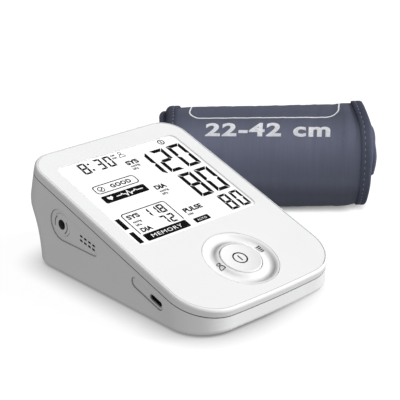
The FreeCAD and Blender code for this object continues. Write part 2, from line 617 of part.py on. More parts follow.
# folded rubber spring between the plunger and the roof of the bore
spring = revolved([(1.60, 30.25), (2.80, 31.25), (1.75, 32.05), (2.60, 32.95), (2.05, 32.95), (1.20, 32.05), (2.20, 31.25),
                   (1.05, 30.25)], (VX, VY, 0), (0, 0, 1), (1, 0, 0))
node("valve_spring", spring)

# ================================================================== manifold, sensor and hoses
man = box(MAN_X - 3.5, MAN_X + 3.5, MAN_Y - 3.5, MAN_Y + 3.5, MAN_Z - 3.5, MAN_Z + 3.5)
for d in ((1, 0, 0), (0, -1, 0), (0, 0, 1), (0, 0, -1)):
    man = man.fuse(cyl(1.6, (MAN_X, MAN_Y, MAN_Z), d, 7.6))
for d in ((1, 0, 0), (0, -1, 0), (0, 0, 1), (0, 0, -1)):
    man = man.cut(cyl(0.9, (MAN_X, MAN_Y, MAN_Z), d, 9))
node("air_manifold", man.removeSplitter())

SEN_X, SEN_YP = -20.0, 100.0
sen = box(SEN_X - 4.5, SEN_X + 4.5, SEN_YP - 4.5, SEN_YP + 4.5, -14.4, -10.45)
sen = sen.fuse(cyl(1.6, (SEN_X, SEN_YP, -18.6), (0, 0, 1), 5)).cut(cyl(0.9, (SEN_X, SEN_YP, -19), (0, 0, 1), 7))
node("pressure_sensor", tilt(sen.removeSplitter()))

HO, HI = 2.5, 1.65
node("tube_jack", cyl(HO, (MAN_X, JACK_Y + 5.3, MAN_Z), (0, 1, 0), 8.5).cut(
    cyl(HI, (MAN_X, JACK_Y + 4, MAN_Z), (0, 1, 0), 12)))
node("tube_pump", cyl(HO, (-35.2, MAN_Y, MAN_Z), (1, 0, 0), 14.9).cut(cyl(HI, (-37, MAN_Y, MAN_Z), (1, 0, 0), 20)))
node("tube_valve", hose([(MAN_X, MAN_Y, MAN_Z + 3.8), (MAN_X, MAN_Y, 41.3), (-30.0, 132.0, 41.3), (30.0, 132.0, 41.3),
                         (VX, VY + 4.0, 41.3), (VX, VY + 4.0, 35.8)], 2.2, HI, 3.2))
s0, s1 = on_top(SEN_X, SEN_YP, -14.8), on_top(SEN_X, SEN_YP, -20.6)
node("tube_sensor", hose([(MAN_X, MAN_Y, MAN_Z - 3.8), (MAN_X, MAN_Y, 23.4), (-34.0, 108.0, 23.6), (s1.x, s1.y, s1.z),
                          (s0.x, s0.y, s0.z)], 2.2, HI, 3.2))

# ================================================================== batteries
cells, springs, plates = [], [], []
for k in range(4):
    cx = (k - 1.5) * 15.1
    up_end = k % 2 == 0
    y0 = BAY_Y0 + (4.0 if up_end else 1.3)
    cz = 3.7 + CELL_R
    body = cyl(CELL_R, (cx, y0, cz), (0, 1, 0), 48.6)
    body = fillet_edges(body, 0.7, lambda e: e.Curve.TypeId == "Part::GeomCircle")
    nub_y = y0 + 48.5 if up_end else y0 - 0.8
    body = body.fuse(cyl(2.6, (cx, nub_y, cz), (0, 1, 0), 1.0))
    cells.append(body.removeSplitter())
    # bowed leaf spring against the flat end of the cell
    root_y, sg = (BAY_Y0 + 0.5, 1.0) if up_end else (BAY_Y1 - 0.5, -1.0)
    x0 = cx - 3.0
    pa, pm, pb = V(x0, root_y, cz - 5.2), V(x0, root_y + sg * 3.2, cz), V(x0, root_y, cz + 5.2)
    qa, qm, qb = V(x0, root_y, cz - 4.7), V(x0, root_y + sg * 2.85, cz), V(x0, root_y, cz + 4.7)
    sp = Part.Face(Part.Wire([Part.Arc(pa, pm, pb).toShape(), Part.makeLine(pb, qb),
                              Part.Arc(qb, qm, qa).toShape(), Part.makeLine(qa, pa)])).extrude(V(6.0, 0, 0))
    springs.append(sp)
for y0 in (BAY_Y0 + 0.05, BAY_Y1 - 0.45):
    for x0, x1 in ((-29.6, -0.7), (0.7, 29.6)) if y0 > 80 else ((-29.6, -15.8), (-14.4, 14.4), (15.8, 29.6)):
        plates.append(box(x0, x1, y0, y0 + 0.4, 5.0, 16.6))
node("batteries", Part.makeCompound(cells))
node("battery_springs", Part.makeCompound(springs))
node("battery_contacts", Part.makeCompound(plates))

# ================================================================== wiring
def wire(pts, r, bend):
    return swept(tube_path(pts, bend), r)


bl = []
for x in (-35.0, -36.6):
    e = on_top(x, 60.0, -10.5)
    bl.append(wire([(x, 70.0, 5.4), (x, 62.0, 5.4), (x, e.y + 1.7, e.z - 5.0), (e.x, e.y, e.z)], 0.6, 2.5))
node("battery_leads", Part.makeCompound(bl))
ml = []
for k, z in enumerate((34.5, 28.5)):
    e = on_top(30.0 - 3 * k, 92.0, -10.5)
    ml.append(wire([(29.4, PUMP_Y + 4.0 - 8 * k, z), (32.2, PUMP_Y + 4.0 - 8 * k, z), (32.2, 105.0 - 2 * k, 30.0),
                    (e.x, e.y + 1.6, e.z - 5.0), (e.x, e.y, e.z)], 0.6, 1.6))
node("motor_leads", Part.makeCompound(ml))

# ================================================================== rolled cuff
A = V(CUFF_LEFT[0], CUFF_LEFT[1], CUFF_R_LEFT)
B = V(CUFF_RIGHT[0], CUFF_RIGHT[1], CUFF_R_RIGHT)
AX = B - A
CUFF_LEN = AX.Length
AX.normalize()
SLANT = (CUFF_R_RIGHT - CUFF_R_LEFT) / CUFF_LEN


def cone(dr, s0, s1):
    """Solid of the roll's tapered outline changed by dr, between stations s0 and s1 along the axis."""
    return Part.makeCone(CUFF_R_LEFT + SLANT * s0 + dr, CUFF_R_LEFT + SLANT * s1 + dr, s1 - s0, A + AX * s0, AX)


def ring_of(dr_out, dr_in, s0, s1):
    return cone(dr_out, s0, s1).cut(cone(dr_in, s0 - 1, s1 + 1))


BIND_T = 0.5
o = -BIND_T - 0.1
node("cuff_outer_cover", ring_of(o, o - 0.9, 0.7, CUFF_LEN - 0.7))
node("cuff_bladder", ring_of(o - 1.0, o - 3.4, BINDING_W + 1.5, CUFF_LEN - BINDING_W - 1.5))
node("cuff_inner_cover", ring_of(o - 3.5, o - 4.4, 0.7, CUFF_LEN - 0.7))


def binding(s_end, s_in):
    lo_s, hi_s = min(s_end, s_in), max(s_end, s_in)
    body = ring_of(0.0, o - 4.4 - 0.1 - BIND_T, lo_s, hi_s)
    if s_end < s_in:
        cav = ring_of(-BIND_T, o - 4.5, s_end + 0.6, hi_s + 1)
    else:
        cav = ring_of(-BIND_T, o - 4.5, lo_s - 1, s_end - 0.6)
    return body.cut(cav)


node("cuff_binding_left", binding(0.0, BINDING_W))
node("cuff_binding_right", binding(CUFF_LEN, CUFF_LEN - BINDING_W))
roll_out = o - 4.4 - 0.1 - BIND_T - 0.15
roll = cone(roll_out, -4.0, CUFF_LEN + 5.0).cut(
    Part.makeCylinder(CUFF_CORE_R, CUFF_LEN + 30, A - AX * 15, AX))
side = V(-AX.y, AX.x, 0)
side.normalize()
patch = ring_of(roll_out - 0.02, roll_out - 0.95, 14.0, 106.0)
sector = Part.makeBox(140, 70, 60)
sector.Placement = FreeCAD.Placement(A + AX * 5 + side * 2.0 - V(0, 0, 30), FreeCAD.Rotation(AX, side, V(0, 0, 1)))
patch = patch.common(sector)
roll = roll.cut(ring_of(roll_out + 0.3, roll_out - 1.05, 13.8, 106.2).common(sector.copy()))
node("cuff_inner_roll", roll)
node("cuff_hook_patch", patch)

# air port on the cuff's far side: saddle flange and elbow nipple along the roll
PORT_S = 36.0
PORT_RISE = 7.4
back_dir = V(-AX.y, AX.x, 0)
if back_dir.x < 0:
    back_dir = back_dir * -1
back_dir.normalize()
pc = A + AX * PORT_S
pr = CUFF_R_LEFT + SLANT * PORT_S
port = Part.makeCylinder(8.0, 5.0, pc + back_dir * (pr - 3.6), back_dir)
port = fillet_edges(port, 0.6, lambda e: e.Curve.TypeId == "Part::GeomCircle" and (e.CenterOfMass - pc).dot(back_dir) > pr)
elbow_c = pc + back_dir * (pr + PORT_RISE)
port = port.fuse(Part.makeCylinder(3.2, PORT_RISE - 0.6, pc + back_dir * (pr + 0.6), back_dir))
port = port.fuse(Part.makeSphere(3.2, elbow_c))
port = port.fuse(Part.makeCylinder(3.2, 3.6, elbow_c, AX * -1))
port = port.fuse(Part.makeCylinder(2.3, 14.0, elbow_c, AX * -1))
port = port.cut(cone(o + 0.12, PORT_S - 20, PORT_S + 20))
port = port.cut(Part.makeCylinder(1.5, 15.0, elbow_c, AX * -1)).cut(
    Part.makeCylinder(1.5, 12.0, elbow_c, back_dir * -1))
node("cuff_air_port", port.removeSplitter())

# ================================================================== one frame, origin under the middle of the box
bb = FreeCAD.BoundBox()
for name, s in NODES.items():
    if not s.Solids:
        print("EMPTY", name)
        continue
    bb.add(s.optimalBoundingBox(False))
SHIFT = V(-(bb.XMin + bb.XMax) / 2, -(bb.YMin + bb.YMax) / 2, -bb.ZMin)
print("SHIFT", SHIFT.x, SHIFT.y, SHIFT.z)
print("BOX", bb.XLength, bb.YLength, bb.ZLength)
for name, s in NODES.items():
    s = s.copy()
    s.translate(SHIFT)
    bad = [x for x in s.Solids if not x.isValid() or x.Volume <= 0]
    print(name, "solids", len(s.Solids), "faces", len(s.Faces), "vol", round(s.Volume, 1), "BAD" if bad or not s.Solids else "")
    s.exportStep("parts/" + name + ".step")
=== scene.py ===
import math
import bpy
import bmesh
import numpy as np
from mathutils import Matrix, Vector

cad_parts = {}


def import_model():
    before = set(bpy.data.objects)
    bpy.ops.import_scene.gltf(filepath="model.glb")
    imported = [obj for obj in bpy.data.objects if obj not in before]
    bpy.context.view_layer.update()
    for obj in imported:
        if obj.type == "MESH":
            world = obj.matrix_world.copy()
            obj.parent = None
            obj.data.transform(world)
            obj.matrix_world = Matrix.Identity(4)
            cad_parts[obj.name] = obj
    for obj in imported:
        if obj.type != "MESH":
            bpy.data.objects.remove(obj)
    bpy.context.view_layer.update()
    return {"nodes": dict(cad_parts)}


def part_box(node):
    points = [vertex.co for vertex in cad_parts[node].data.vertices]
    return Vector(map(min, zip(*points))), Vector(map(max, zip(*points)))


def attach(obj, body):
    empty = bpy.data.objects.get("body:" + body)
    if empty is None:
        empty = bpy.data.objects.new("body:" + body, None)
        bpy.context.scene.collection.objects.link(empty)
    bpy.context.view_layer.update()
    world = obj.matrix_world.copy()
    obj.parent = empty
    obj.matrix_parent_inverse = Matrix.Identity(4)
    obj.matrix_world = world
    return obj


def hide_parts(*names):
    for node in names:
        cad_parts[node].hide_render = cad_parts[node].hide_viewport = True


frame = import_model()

NODES = frame["nodes"]
scene = bpy.context.scene

# ------------------------------------------------------------------ places
# lengths below are millimetres in the monitor's own axes: x to its right from its middle, y from its front
# edge to its back, z up from the table; the four feet give where those axes lie
SLOPE = math.radians(18.55)
SA, CA = math.sin(SLOPE), math.cos(SLOPE)
FRONT_HEIGHT = 14.4
flo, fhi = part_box("rubber_feet")
OX = (flo[0] + fhi[0]) * 500.0
OY = flo[1] * 1000.0 - 26.5


def world(p):
    """Monitor millimetres to the shared frame's metres."""
    p = np.asarray(p, float)
    return (p + np.array([OX, OY, 0.0])) * 0.001


def on_top(x, yp, w):
    """A point of the sloping top: x across, yp up the slope, w above the face."""
    return np.array([x, yp * CA - w * SA, FRONT_HEIGHT + yp * SA + w * CA])


# ------------------------------------------------------------------ material helpers
def new_mat(name):
    m = bpy.data.materials.new(name)
    m.use_nodes = True
    return m, m.node_tree, m.node_tree.nodes["Principled BSDF"]


def coords(nt, kind="Object", scale=None):
    c = nt.nodes.new("ShaderNodeTexCoord").outputs[kind]
    if scale is None:
        return c
    mp = nt.nodes.new("ShaderNodeMapping")
    mp.inputs["Scale"].default_value = scale
    nt.links.new(c, mp.inputs["Vector"])
    return mp.outputs["Vector"]


def uv_coords(nt, scale=None, layer="weave"):
    u = nt.nodes.new("ShaderNodeUVMap")
    u.uv_map = layer
    if scale is None:
        return u.outputs["UV"]
    mp = nt.nodes.new("ShaderNodeMapping")
    mp.inputs["Scale"].default_value = scale
    nt.links.new(u.outputs["UV"], mp.inputs["Vector"])
    return mp.outputs["Vector"]


def noise(nt, vec, scale, detail=3.0, rough=0.5, distortion=0.0):
    n = nt.nodes.new("ShaderNodeTexNoise")
    n.inputs["Scale"].default_value = scale
    n.inputs["Detail"].default_value = detail
    n.inputs["Roughness"].default_value = rough
    n.inputs["Distortion"].default_value = distortion
    nt.links.new(vec, n.inputs["Vector"])
    return n.outputs["Fac"]


def ramp(nt, fac, c0, c1, p0=0.3, p1=0.7):
    r = nt.nodes.new("ShaderNodeValToRGB")
    e = r.color_ramp.elements
    e[0].position, e[1].position = p0, p1
    e[0].color = (*c0, 1.0)
    e[1].color = (*c1, 1.0)
    nt.links.new(fac, r.inputs["Fac"])
    return r.outputs["Color"]


def span(nt, fac, lo, hi, f0=0.3, f1=0.7):
    m = nt.nodes.new("ShaderNodeMapRange")
    m.inputs["From Min"].default_value = f0
    m.inputs["From Max"].default_value = f1
    m.inputs["To Min"].default_value = lo
    m.inputs["To Max"].default_value = hi
    nt.links.new(fac, m.inputs["Value"])
    return m.outputs["Result"]


def math_node(nt, op, a, b=None):
    n = nt.nodes.new("ShaderNodeMath")
    n.operation = op
    for k, v in enumerate((a, b)):
        if v is None:
            continue
        if isinstance(v, (int, float)):
            n.inputs[k].default_value = v
        else:
            nt.links.new(v, n.inputs[k])
    return n.outputs[0]


def bump(nt, b, height, strength, distance, normal=None):
    n = nt.nodes.new("ShaderNodeBump")
    n.inputs["Strength"].default_value = strength
    n.inputs["Distance"].default_value = distance
    nt.links.new(height, n.inputs["Height"])
    if normal is not None:
        nt.links.new(normal, n.inputs["Normal"])
    if b is not None:
        nt.links.new(n.outputs["Normal"], b.inputs["Normal"])
    return n.outputs["Normal"]


def tint(col, k):
    return tuple(min(1.0, c * k) for c in col)


def plastic(name, col, rough=0.42, var=0.02, grain=2600.0, depth=0.000012, strength=0.25, spec=0.45, rvar=0.06, cavity=0.0):
    """Moulded plastic: faint flow clouds in the colour, a fine spark-eroded grain and uneven gloss.

    With a cavity distance the narrow gaps and inner corners go dark: shade painted into the colour from ambient
    occlusion."""
    m, nt, b = new_mat(name)
    v = coords(nt)
    cloud = noise(nt, v, 28.0, 2.0)
    tone = ramp(nt, cloud, tint(col, 1 - var), tint(col, 1 + var))
    if cavity:
        # painted shade: ambient occlusion darkens the colour towards near black in gaps and inner corners
        near = nt.nodes.new("ShaderNodeAmbientOcclusion")
        near.samples = 16
        near.inputs["Distance"].default_value = cavity
        cavity_shade = nt.nodes.new("ShaderNodeMix")
        cavity_shade.data_type = "RGBA"
        nt.links.new(span(nt, near.outputs["AO"], 1.0, 0.0, 0.28, 0.88), cavity_shade.inputs["Factor"])
        nt.links.new(tone, cavity_shade.inputs["A"])
        cavity_shade.inputs["B"].default_value = (0.012, 0.012, 0.013, 1)
        tone = cavity_shade.outputs["Result"]
    nt.links.new(tone, b.inputs["Base Color"])
    fine = noise(nt, v, grain, 2.0, 0.6)
    nt.links.new(span(nt, noise(nt, v, 160.0, 3.0), rough - rvar, rough + rvar), b.inputs["Roughness"])
    bump(nt, b, fine, strength, depth)
    b.inputs["Specular IOR Level"].default_value = spec
    return m


def rubber(name, col, rough=0.75, var=0.12):
    m, nt, b = new_mat(name)
    v = coords(nt)
    nt.links.new(ramp(nt, noise(nt, v, 90.0, 4.0), tint(col, 1 - var), tint(col, 1 + var)), b.inputs["Base Color"])
    nt.links.new(span(nt, noise(nt, v, 700.0, 2.0), rough - 0.1, rough + 0.1), b.inputs["Roughness"])
    bump(nt, b, noise(nt, v, 1800.0, 3.0), 0.35, 0.00003)
    b.inputs["Specular IOR Level"].default_value = 0.3
    return m


def metal(name, col, rough=0.3, stretch=(60.0, 1.0, 1.0)):
    m, nt, b = new_mat(name)
    v = coords(nt, scale=stretch)
    line = noise(nt, v, 600.0, 3.0, 0.6)
    nt.links.new(ramp(nt, line, tint(col, 0.82), tint(col, 1.08)), b.inputs["Base Color"])
    nt.links.new(span(nt, line, rough - 0.08, rough + 0.12), b.inputs["Roughness"])
    bump(nt, b, line, 0.15, 0.00001)
    b.inputs["Metallic"].default_value = 1.0
    return m


def ink(name, col, rough=0.5):
    """Printed marks, also the painted shade lines along the cover's edge: slightly uneven cover of the ink film."""
    m, nt, b = new_mat(name)
    v = coords(nt)
    nt.links.new(ramp(nt, noise(nt, v, 900.0, 3.0), tint(col, 0.88), tint(col, 1.10)), b.inputs["Base Color"])
    nt.links.new(span(nt, noise(nt, v, 2500.0, 2.0), rough - 0.08, rough + 0.08), b.inputs["Roughness"])
    b.inputs["Specular IOR Level"].default_value = 0.15
    return m


def use(node, mat):
    o = NODES[node]
    o.data.materials.clear()
    o.data.materials.append(mat)


# ------------------------------------------------------------------ mesh helpers
def add_mesh(name, pts, faces, mat, uv=None, smooth=True):
    me = bpy.data.meshes.new(name)
    me.from_pydata([tuple(p) for p in world(pts)], [], [tuple(int(i) for i in f) for f in faces])
    if uv is not None:
        layer = me.uv_layers.new(name="weave")
        idx = np.empty(len(me.loops), dtype=np.int64)
        me.loops.foreach_get("vertex_index", idx)
        layer.data.foreach_set("uv", np.asarray(uv, float)[idx].ravel())
    me.polygons.foreach_set("use_smooth", [smooth] * len(me.polygons))
    me.materials.append(mat)
    me.update()
    o = bpy.data.objects.new(name, me)
    scene.collection.objects.link(o)
    return o


def sweep_faces(ni, nj, close_j=True, flip=False, base=0):
    faces = []
    for i in range(ni - 1):
        for j in range(nj if close_j else nj - 1):
            a, b_ = base + i * nj + j, base + i * nj + (j + 1) % nj
            c, d = b_ + nj, a + nj
            faces.append((a, d, c, b_) if flip else (a, b_, c, d))
    return faces


class Flat:
    """Flat artwork collected as polygons in two coordinates, then laid on a surface."""

    def __init__(self):
        self.v, self.f = [], []

    def poly(self, pts):
        n = len(self.v)
        self.v += [tuple(p) for p in pts]
        self.f.append(tuple(range(n, n + len(pts))))

    def rect(self, x0, x1, y0, y1):
        self.poly([(x0, y0), (x1, y0), (x1, y1), (x0, y1)])

    def strip(self, path, width, closed=False):
        """A line of even width along a path."""
        p = np.asarray(path, float)
        n = len(p)
        if closed:
            prev, nxt = np.roll(p, 1, 0), np.roll(p, -1, 0)
        else:
            prev, nxt = np.vstack([p[:1], p[:-1]]), np.vstack([p[1:], p[-1:]])
        d1 = p - prev
        d2 = nxt - p
        for d in (d1, d2):
            ln = np.linalg.norm(d, axis=1, keepdims=True)
            d /= np.where(ln < 1e-9, 1, ln)
        if not closed:
            d1[0], d2[-1] = d2[0], d1[-1]
        t = d1 + d2
        t /= np.linalg.norm(t, axis=1, keepdims=True)
        nrm = np.stack([-t[:, 1], t[:, 0]], 1)
        k = 1.0 / np.maximum(0.4, (t * d1).sum(1))
        a = p + nrm * (width / 2 * k)[:, None]
        b_ = p - nrm * (width / 2 * k)[:, None]
        base = len(self.v)
        for q, r in zip(a, b_):
            self.v += [tuple(q), tuple(r)]
        for i in range(n if closed else n - 1):
            j = (i + 1) % n
            self.f.append((base + 2 * i + 1, base + 2 * j + 1, base + 2 * j, base + 2 * i))

    def ring(self, x, y, r, width, a0=0.0, a1=360.0, n=48):
        full = abs(a1 - a0) >= 359.9
        ang = np.radians(np.linspace(a0, a1, n + 1))
        pts = [(x + r * math.cos(a), y + r * math.sin(a)) for a in (ang[:-1] if full else ang)]
        self.strip(pts, width, closed=full)

    def disc(self, x, y, r, n=28):
        self.poly([(x + r * math.cos(2 * math.pi * k / n), y + r * math.sin(2 * math.pi * k / n)) for k in range(n)])

    def round_rect(self, x0, x1, y0, y1, r, width=None, n=6):
        pts = []
        for cx, cy, a in ((x1 - r, y1 - r, 0), (x0 + r, y1 - r, 90), (x0 + r, y0 + r, 180), (x1 - r, y0 + r, 270)):
            for k in range(n + 1):
                t = math.radians(a + 90.0 * k / n)
                pts.append((cx + r * math.cos(t), cy + r * math.sin(t)))
        if width is None:
            self.poly(pts)
        else:
            self.strip(pts, width, closed=True)

    def digit(self, ch, x0, x1, y0, y1, th, g=0.26):
        """One seven-bar figure with mitred bars."""
        ym, h, c = (y0 + y1) / 2, th / 2, th * 0.28
        bars = {
            "a": [(x0 + c + g, y1), (x1 - c - g, y1), (x1 - th - g * 0.5, y1 - th), (x0 + th + g * 0.5, y1 - th)],
            "d": [(x0 + th + g * 0.5, y0 + th), (x1 - th - g * 0.5, y0 + th), (x1 - c - g, y0), (x0 + c + g, y0)],
            "f": [(x0, y1 - c - g), (x0 + c * 0.3, y1 - g), (x0 + th, y1 - th - g), (x0 + th, ym + h + g * 0.7), (x0 + h * 0.8, ym + g * 0.6),
                  (x0, ym + g * 0.9)],
            "e": [(x0, ym - g * 0.9), (x0 + h * 0.8, ym - g * 0.6), (x0 + th, ym - h - g * 0.7), (x0 + th, y0 + th + g), (x0 + c * 0.3, y0 + g),
                  (x0, y0 + c + g)],
            "g": [(x0 + h + g, ym), (x0 + th + g * 0.6, ym + h), (x1 - th - g * 0.6, ym + h), (x1 - h - g, ym), (x1 - th - g * 0.6, ym - h),
                  (x0 + th + g * 0.6, ym - h)],
        }
        bars["b"] = [(x0 + x1 - x, y) for x, y in bars["f"]]
        bars["c"] = [(x0 + x1 - x, y) for x, y in bars["e"]]
        lit = {"0": "abcdef", "1": "bc", "2": "abged", "3": "abgcd", "7": "abc", "8": "abcdefg"}[ch]
        for s in lit:
            self.poly(bars[s])

    def text(self, body, x, y, size, width=None, bold=0.0, spacing=1.0):
        """Plain sans lettering centred on (x, y); size is the height of a capital, width the length asked for."""
        cu = bpy.data.curves.new("lettering", "FONT")
        cu.body = body
        cu.size = 1.0
        cu.offset = bold
        cu.space_character = spacing
        cu.resolution_u = 6
        o = bpy.data.objects.new("lettering", cu)
        scene.collection.objects.link(o)
        bpy.context.view_layer.update()
        me = bpy.data.meshes.new_from_object(o.evaluated_get(bpy.context.evaluated_depsgraph_get()))
        co = np.array([v.co[:2] for v in me.vertices])
        lo, hi = co.min(0), co.max(0)
        k = size / 0.70
        kx = width / (hi[0] - lo[0]) if width else k
        mid = (lo + hi) / 2
        base = len(self.v)
        for p in co:
            self.v.append((x + (p[0] - mid[0]) * kx, y + (p[1] - 0.35) * k))
        for p in me.polygons:
            self.f.append(tuple(base + i for i in p.vertices))
        bpy.data.meshes.remove(me)
        bpy.data.objects.remove(o)
        bpy.data.curves.remove(cu)

    def lay(self, name, place, mat, slice_x=None, slice_y=None):
        """Cuts the artwork on a grid where asked, and lays it with place(x, y) -> monitor millimetres."""
        bm = bmesh.new()
        vs = [bm.verts.new((x, y, 0.0)) for x, y in self.v]
        for f in self.f:
            try:
                bm.faces.new([vs[i] for i in f])
            except ValueError:
                pass
        bm.normal_update()
        for f in bm.faces:
            if f.normal.z < 0:
                f.normal_flip()
        xs = [p[0] for p in self.v]
        ys = [p[1] for p in self.v]
        for step, axis, lo, hi in ((slice_x, 0, min(xs), max(xs)), (slice_y, 1, min(ys), max(ys))):
            if not step:
                continue
            at = math.floor(lo / step) * step + step
            while at < hi:
                co = (at, 0, 0) if axis == 0 else (0, at, 0)
                no = (1, 0, 0) if axis == 0 else (0, 1, 0)
                bmesh.ops.bisect_plane(bm, geom=bm.verts[:] + bm.edges[:] + bm.faces[:], plane_co=co, plane_no=no)
                at += step
        bmesh.ops.remove_doubles(bm, verts=bm.verts, dist=1e-4)
        bmesh.ops.triangulate(bm, faces=[f for f in bm.faces if len(f.verts) > 4])
        bm.verts.ensure_lookup_table()
        bm.verts.index_update()
        flat = np.array([v.co[:2] for v in bm.verts])
        faces = [[v.index for v in f.verts] for f in bm.faces]
        bm.free()
        return add_mesh(name, place(flat[:, 0], flat[:, 1]), faces, mat, smooth=False)


def place_top(w):
    def go(x, y):
        return np.stack([x, y * CA - w * SA, np.full_like(x, FRONT_HEIGHT) + y * SA + w * CA], 1)
    return go


def arc_through(p, q, r):
    """Centre and radius of the circle through three points."""
    (x1, y1), (x2, y2), (x3, y3) = p, q, r
    d = 2 * (x1 * (y2 - y3) + x2 * (y3 - y1) + x3 * (y1 - y2))
    cx = ((x1 ** 2 + y1 ** 2) * (y2 - y3) + (x2 ** 2 + y2 ** 2) * (y3 - y1) + (x3 ** 2 + y3 ** 2) * (y1 - y2)) / d
    cy = ((x1 ** 2 + y1 ** 2) * (x3 - x2) + (x2 ** 2 + y2 ** 2) * (x1 - x3) + (x3 ** 2 + y3 ** 2) * (x2 - x1)) / d
    return cx, cy, math.hypot(x1 - cx, y1 - cy)


# ------------------------------------------------------------------ finishes of the hard parts
WHITE = (0.83, 0.832, 0.836)
BODY = (0.825, 0.827, 0.833)
cover_mat = plastic("cover_white", WHITE, 0.40, 0.012)
key_mat = plastic("key_white", WHITE, 0.40, 0.006, 3200.0, rvar=0.02)
case_mat = plastic("case_white", BODY, 0.46, 0.02, 1900.0, 0.00002, 0.35, cavity=0.0015)
use("top_cover", cover_mat)
use("ring_key", key_mat)
use("start_button", plastic("button_white", WHITE, 0.40, 0.006, 3200.0, rvar=0.02))
use("lower_case", case_mat)
use("battery_cover", plastic("battery_cover_white", BODY, 0.48, 0.02, 1900.0, 0.00002, 0.35))
use("rubber_feet", rubber("foot_rubber", (0.07, 0.072, 0.078)))
use("case_screws", metal("screw_steel", (0.55, 0.55, 0.56), 0.35))
use("board_screws", metal("board_screw_steel", (0.6, 0.6, 0.6), 0.3))
use("charge_shell", metal("socket_steel", (0.62, 0.63, 0.65), 0.25))
use("charge_tongue", plastic("socket_tongue", (0.03, 0.03, 0.033), 0.5, 0.1))
jack_mat = plastic("jack_grey", tint(BODY, 0.97), 0.40, 0.02)
JACK = (109.1, 31.5)
jack_at = world([0.0, JACK[0], JACK[1]])
# painted shade: the inside of the air socket's hole is coloured near black, standing in for the shade in it
nt, b = jack_mat.node_tree, jack_mat.node_tree.nodes["Principled BSDF"]
sep = nt.nodes.new("ShaderNodeSeparateXYZ")
nt.links.new(coords(nt), sep.inputs["Vector"])
dy = math_node(nt, "SUBTRACT", sep.outputs["Y"], float(jack_at[1]))
dz = math_node(nt, "SUBTRACT", sep.outputs["Z"], float(jack_at[2]))
off = math_node(nt, "SQRT", math_node(nt, "ADD", math_node(nt, "MULTIPLY", dy, dy), math_node(nt, "MULTIPLY", dz, dz)))
bore_shade = nt.nodes.new("ShaderNodeMix")
bore_shade.data_type = "RGBA"
nt.links.new(span(nt, off, 1.0, 0.0, 0.00278, 0.00290), bore_shade.inputs["Factor"])
nt.links.new(b.inputs["Base Color"].links[0].from_socket, bore_shade.inputs["A"])
bore_shade.inputs["B"].default_value = (0.08, 0.08, 0.083, 1)
nt.links.new(bore_shade.outputs["Result"], b.inputs["Base Color"])
use("air_jack", jack_mat)
use("jack_o_ring", rubber("o_ring_rubber", (0.02, 0.02, 0.02)))
use("jack_nut", plastic("nut_black", (0.05, 0.05, 0.05), 0.5, 0.1))
use("buzzer", plastic("buzzer_black", (0.015, 0.015, 0.016), 0.6, 0.15))
use("lcd_frame", plastic("frame_white", (0.8, 0.8, 0.79), 0.5))
use("main_board", plastic("solder_mask", (0.02, 0.16, 0.07), 0.35, 0.25, 900.0, 0.00004))
use("board_chips", plastic("chip_epoxy", (0.015, 0.015, 0.017), 0.55, 0.15))
use("zebra_strip", rubber("zebra_rubber", (0.5, 0.45, 0.5)))
use("start_key_dome", rubber("dome_rubber", (0.55, 0.55, 0.55)))
use("ring_key_domes", rubber("ring_dome_rubber", (0.55, 0.55, 0.55)))
use("pump_motor", metal("motor_can", (0.6, 0.6, 0.62), 0.3))
use("pump_rotor", metal("rotor_steel", (0.45, 0.45, 0.46), 0.35))
use("pump_head", plastic("pump_black", (0.02, 0.02, 0.022), 0.5, 0.12))
use("pump_mount", rubber("pump_foam", (0.02, 0.02, 0.02), 0.9, 0.3))
use("valve_body", plastic("valve_black", (0.025, 0.025, 0.028), 0.5, 0.12))
use("valve_plunger", metal("plunger_steel", (0.6, 0.6, 0.6), 0.25))
use("valve_spring", rubber("valve_rubber", (0.02, 0.02, 0.022)))
use("air_manifold", plastic("manifold_natural", (0.7, 0.7, 0.66), 0.5, 0.04))
use("pressure_sensor", plastic("sensor_black", (0.02, 0.02, 0.022), 0.5, 0.12))
for t in ("tube_jack", "tube_pump", "tube_valve", "tube_sensor"):
    use(t, rubber(t + "_silicone", (0.7, 0.7, 0.66), 0.5, 0.06))
use("batteries", metal("battery_sleeve", (0.16, 0.18, 0.22), 0.35, (1.0, 40.0, 1.0)))
use("battery_springs", metal("spring_nickel", (0.72, 0.71, 0.68), 0.22))
use("battery_contacts", metal("contact_nickel", (0.74, 0.73, 0.70), 0.22))
use("battery_leads", rubber("lead_red", (0.4, 0.03, 0.02), 0.5))
use("motor_leads", rubber("lead_black", (0.02, 0.02, 0.02), 0.5))
use("backlight_plate", plastic("light_guide", (0.85, 0.87, 0.88), 0.2, 0.02))
use("cuff_air_port", plastic("port_slate", (0.045, 0.048, 0.065), 0.42, 0.08))

# clear window over the display: almost nothing but a thin gloss with fine hairlines
m, nt, b = new_mat("window_clear")
b.inputs["Base Color"].default_value = (0.02, 0.02, 0.022, 1)
b.inputs["Alpha"].default_value = 0.03
b.inputs["Specular IOR Level"].default_value = 0.06
v = coords(nt, scale=(1.0, 6.0, 6.0))
nt.links.new(span(nt, noise(nt, v, 300.0, 3.0), 0.05, 0.14), b.inputs["Roughness"])
use("display_lens", m)

# lit white display: even backlight with a faint cloud
m, nt, b = new_mat("display_white")
b.inputs["Roughness"].default_value = 0.5
v = coords(nt)
cloud = noise(nt, v, 22.0, 2.0)
nt.links.new(ramp(nt, cloud, (0.46, 0.465, 0.47), (0.50, 0.505, 0.51)), b.inputs["Base Color"])
nt.links.new(ramp(nt, cloud, (0.97, 0.98, 0.985), (1.0, 1.0, 1.0)), b.inputs["Emission Color"])
b.inputs["Emission Strength"].default_value = 0.66
use("lcd_panel", m)

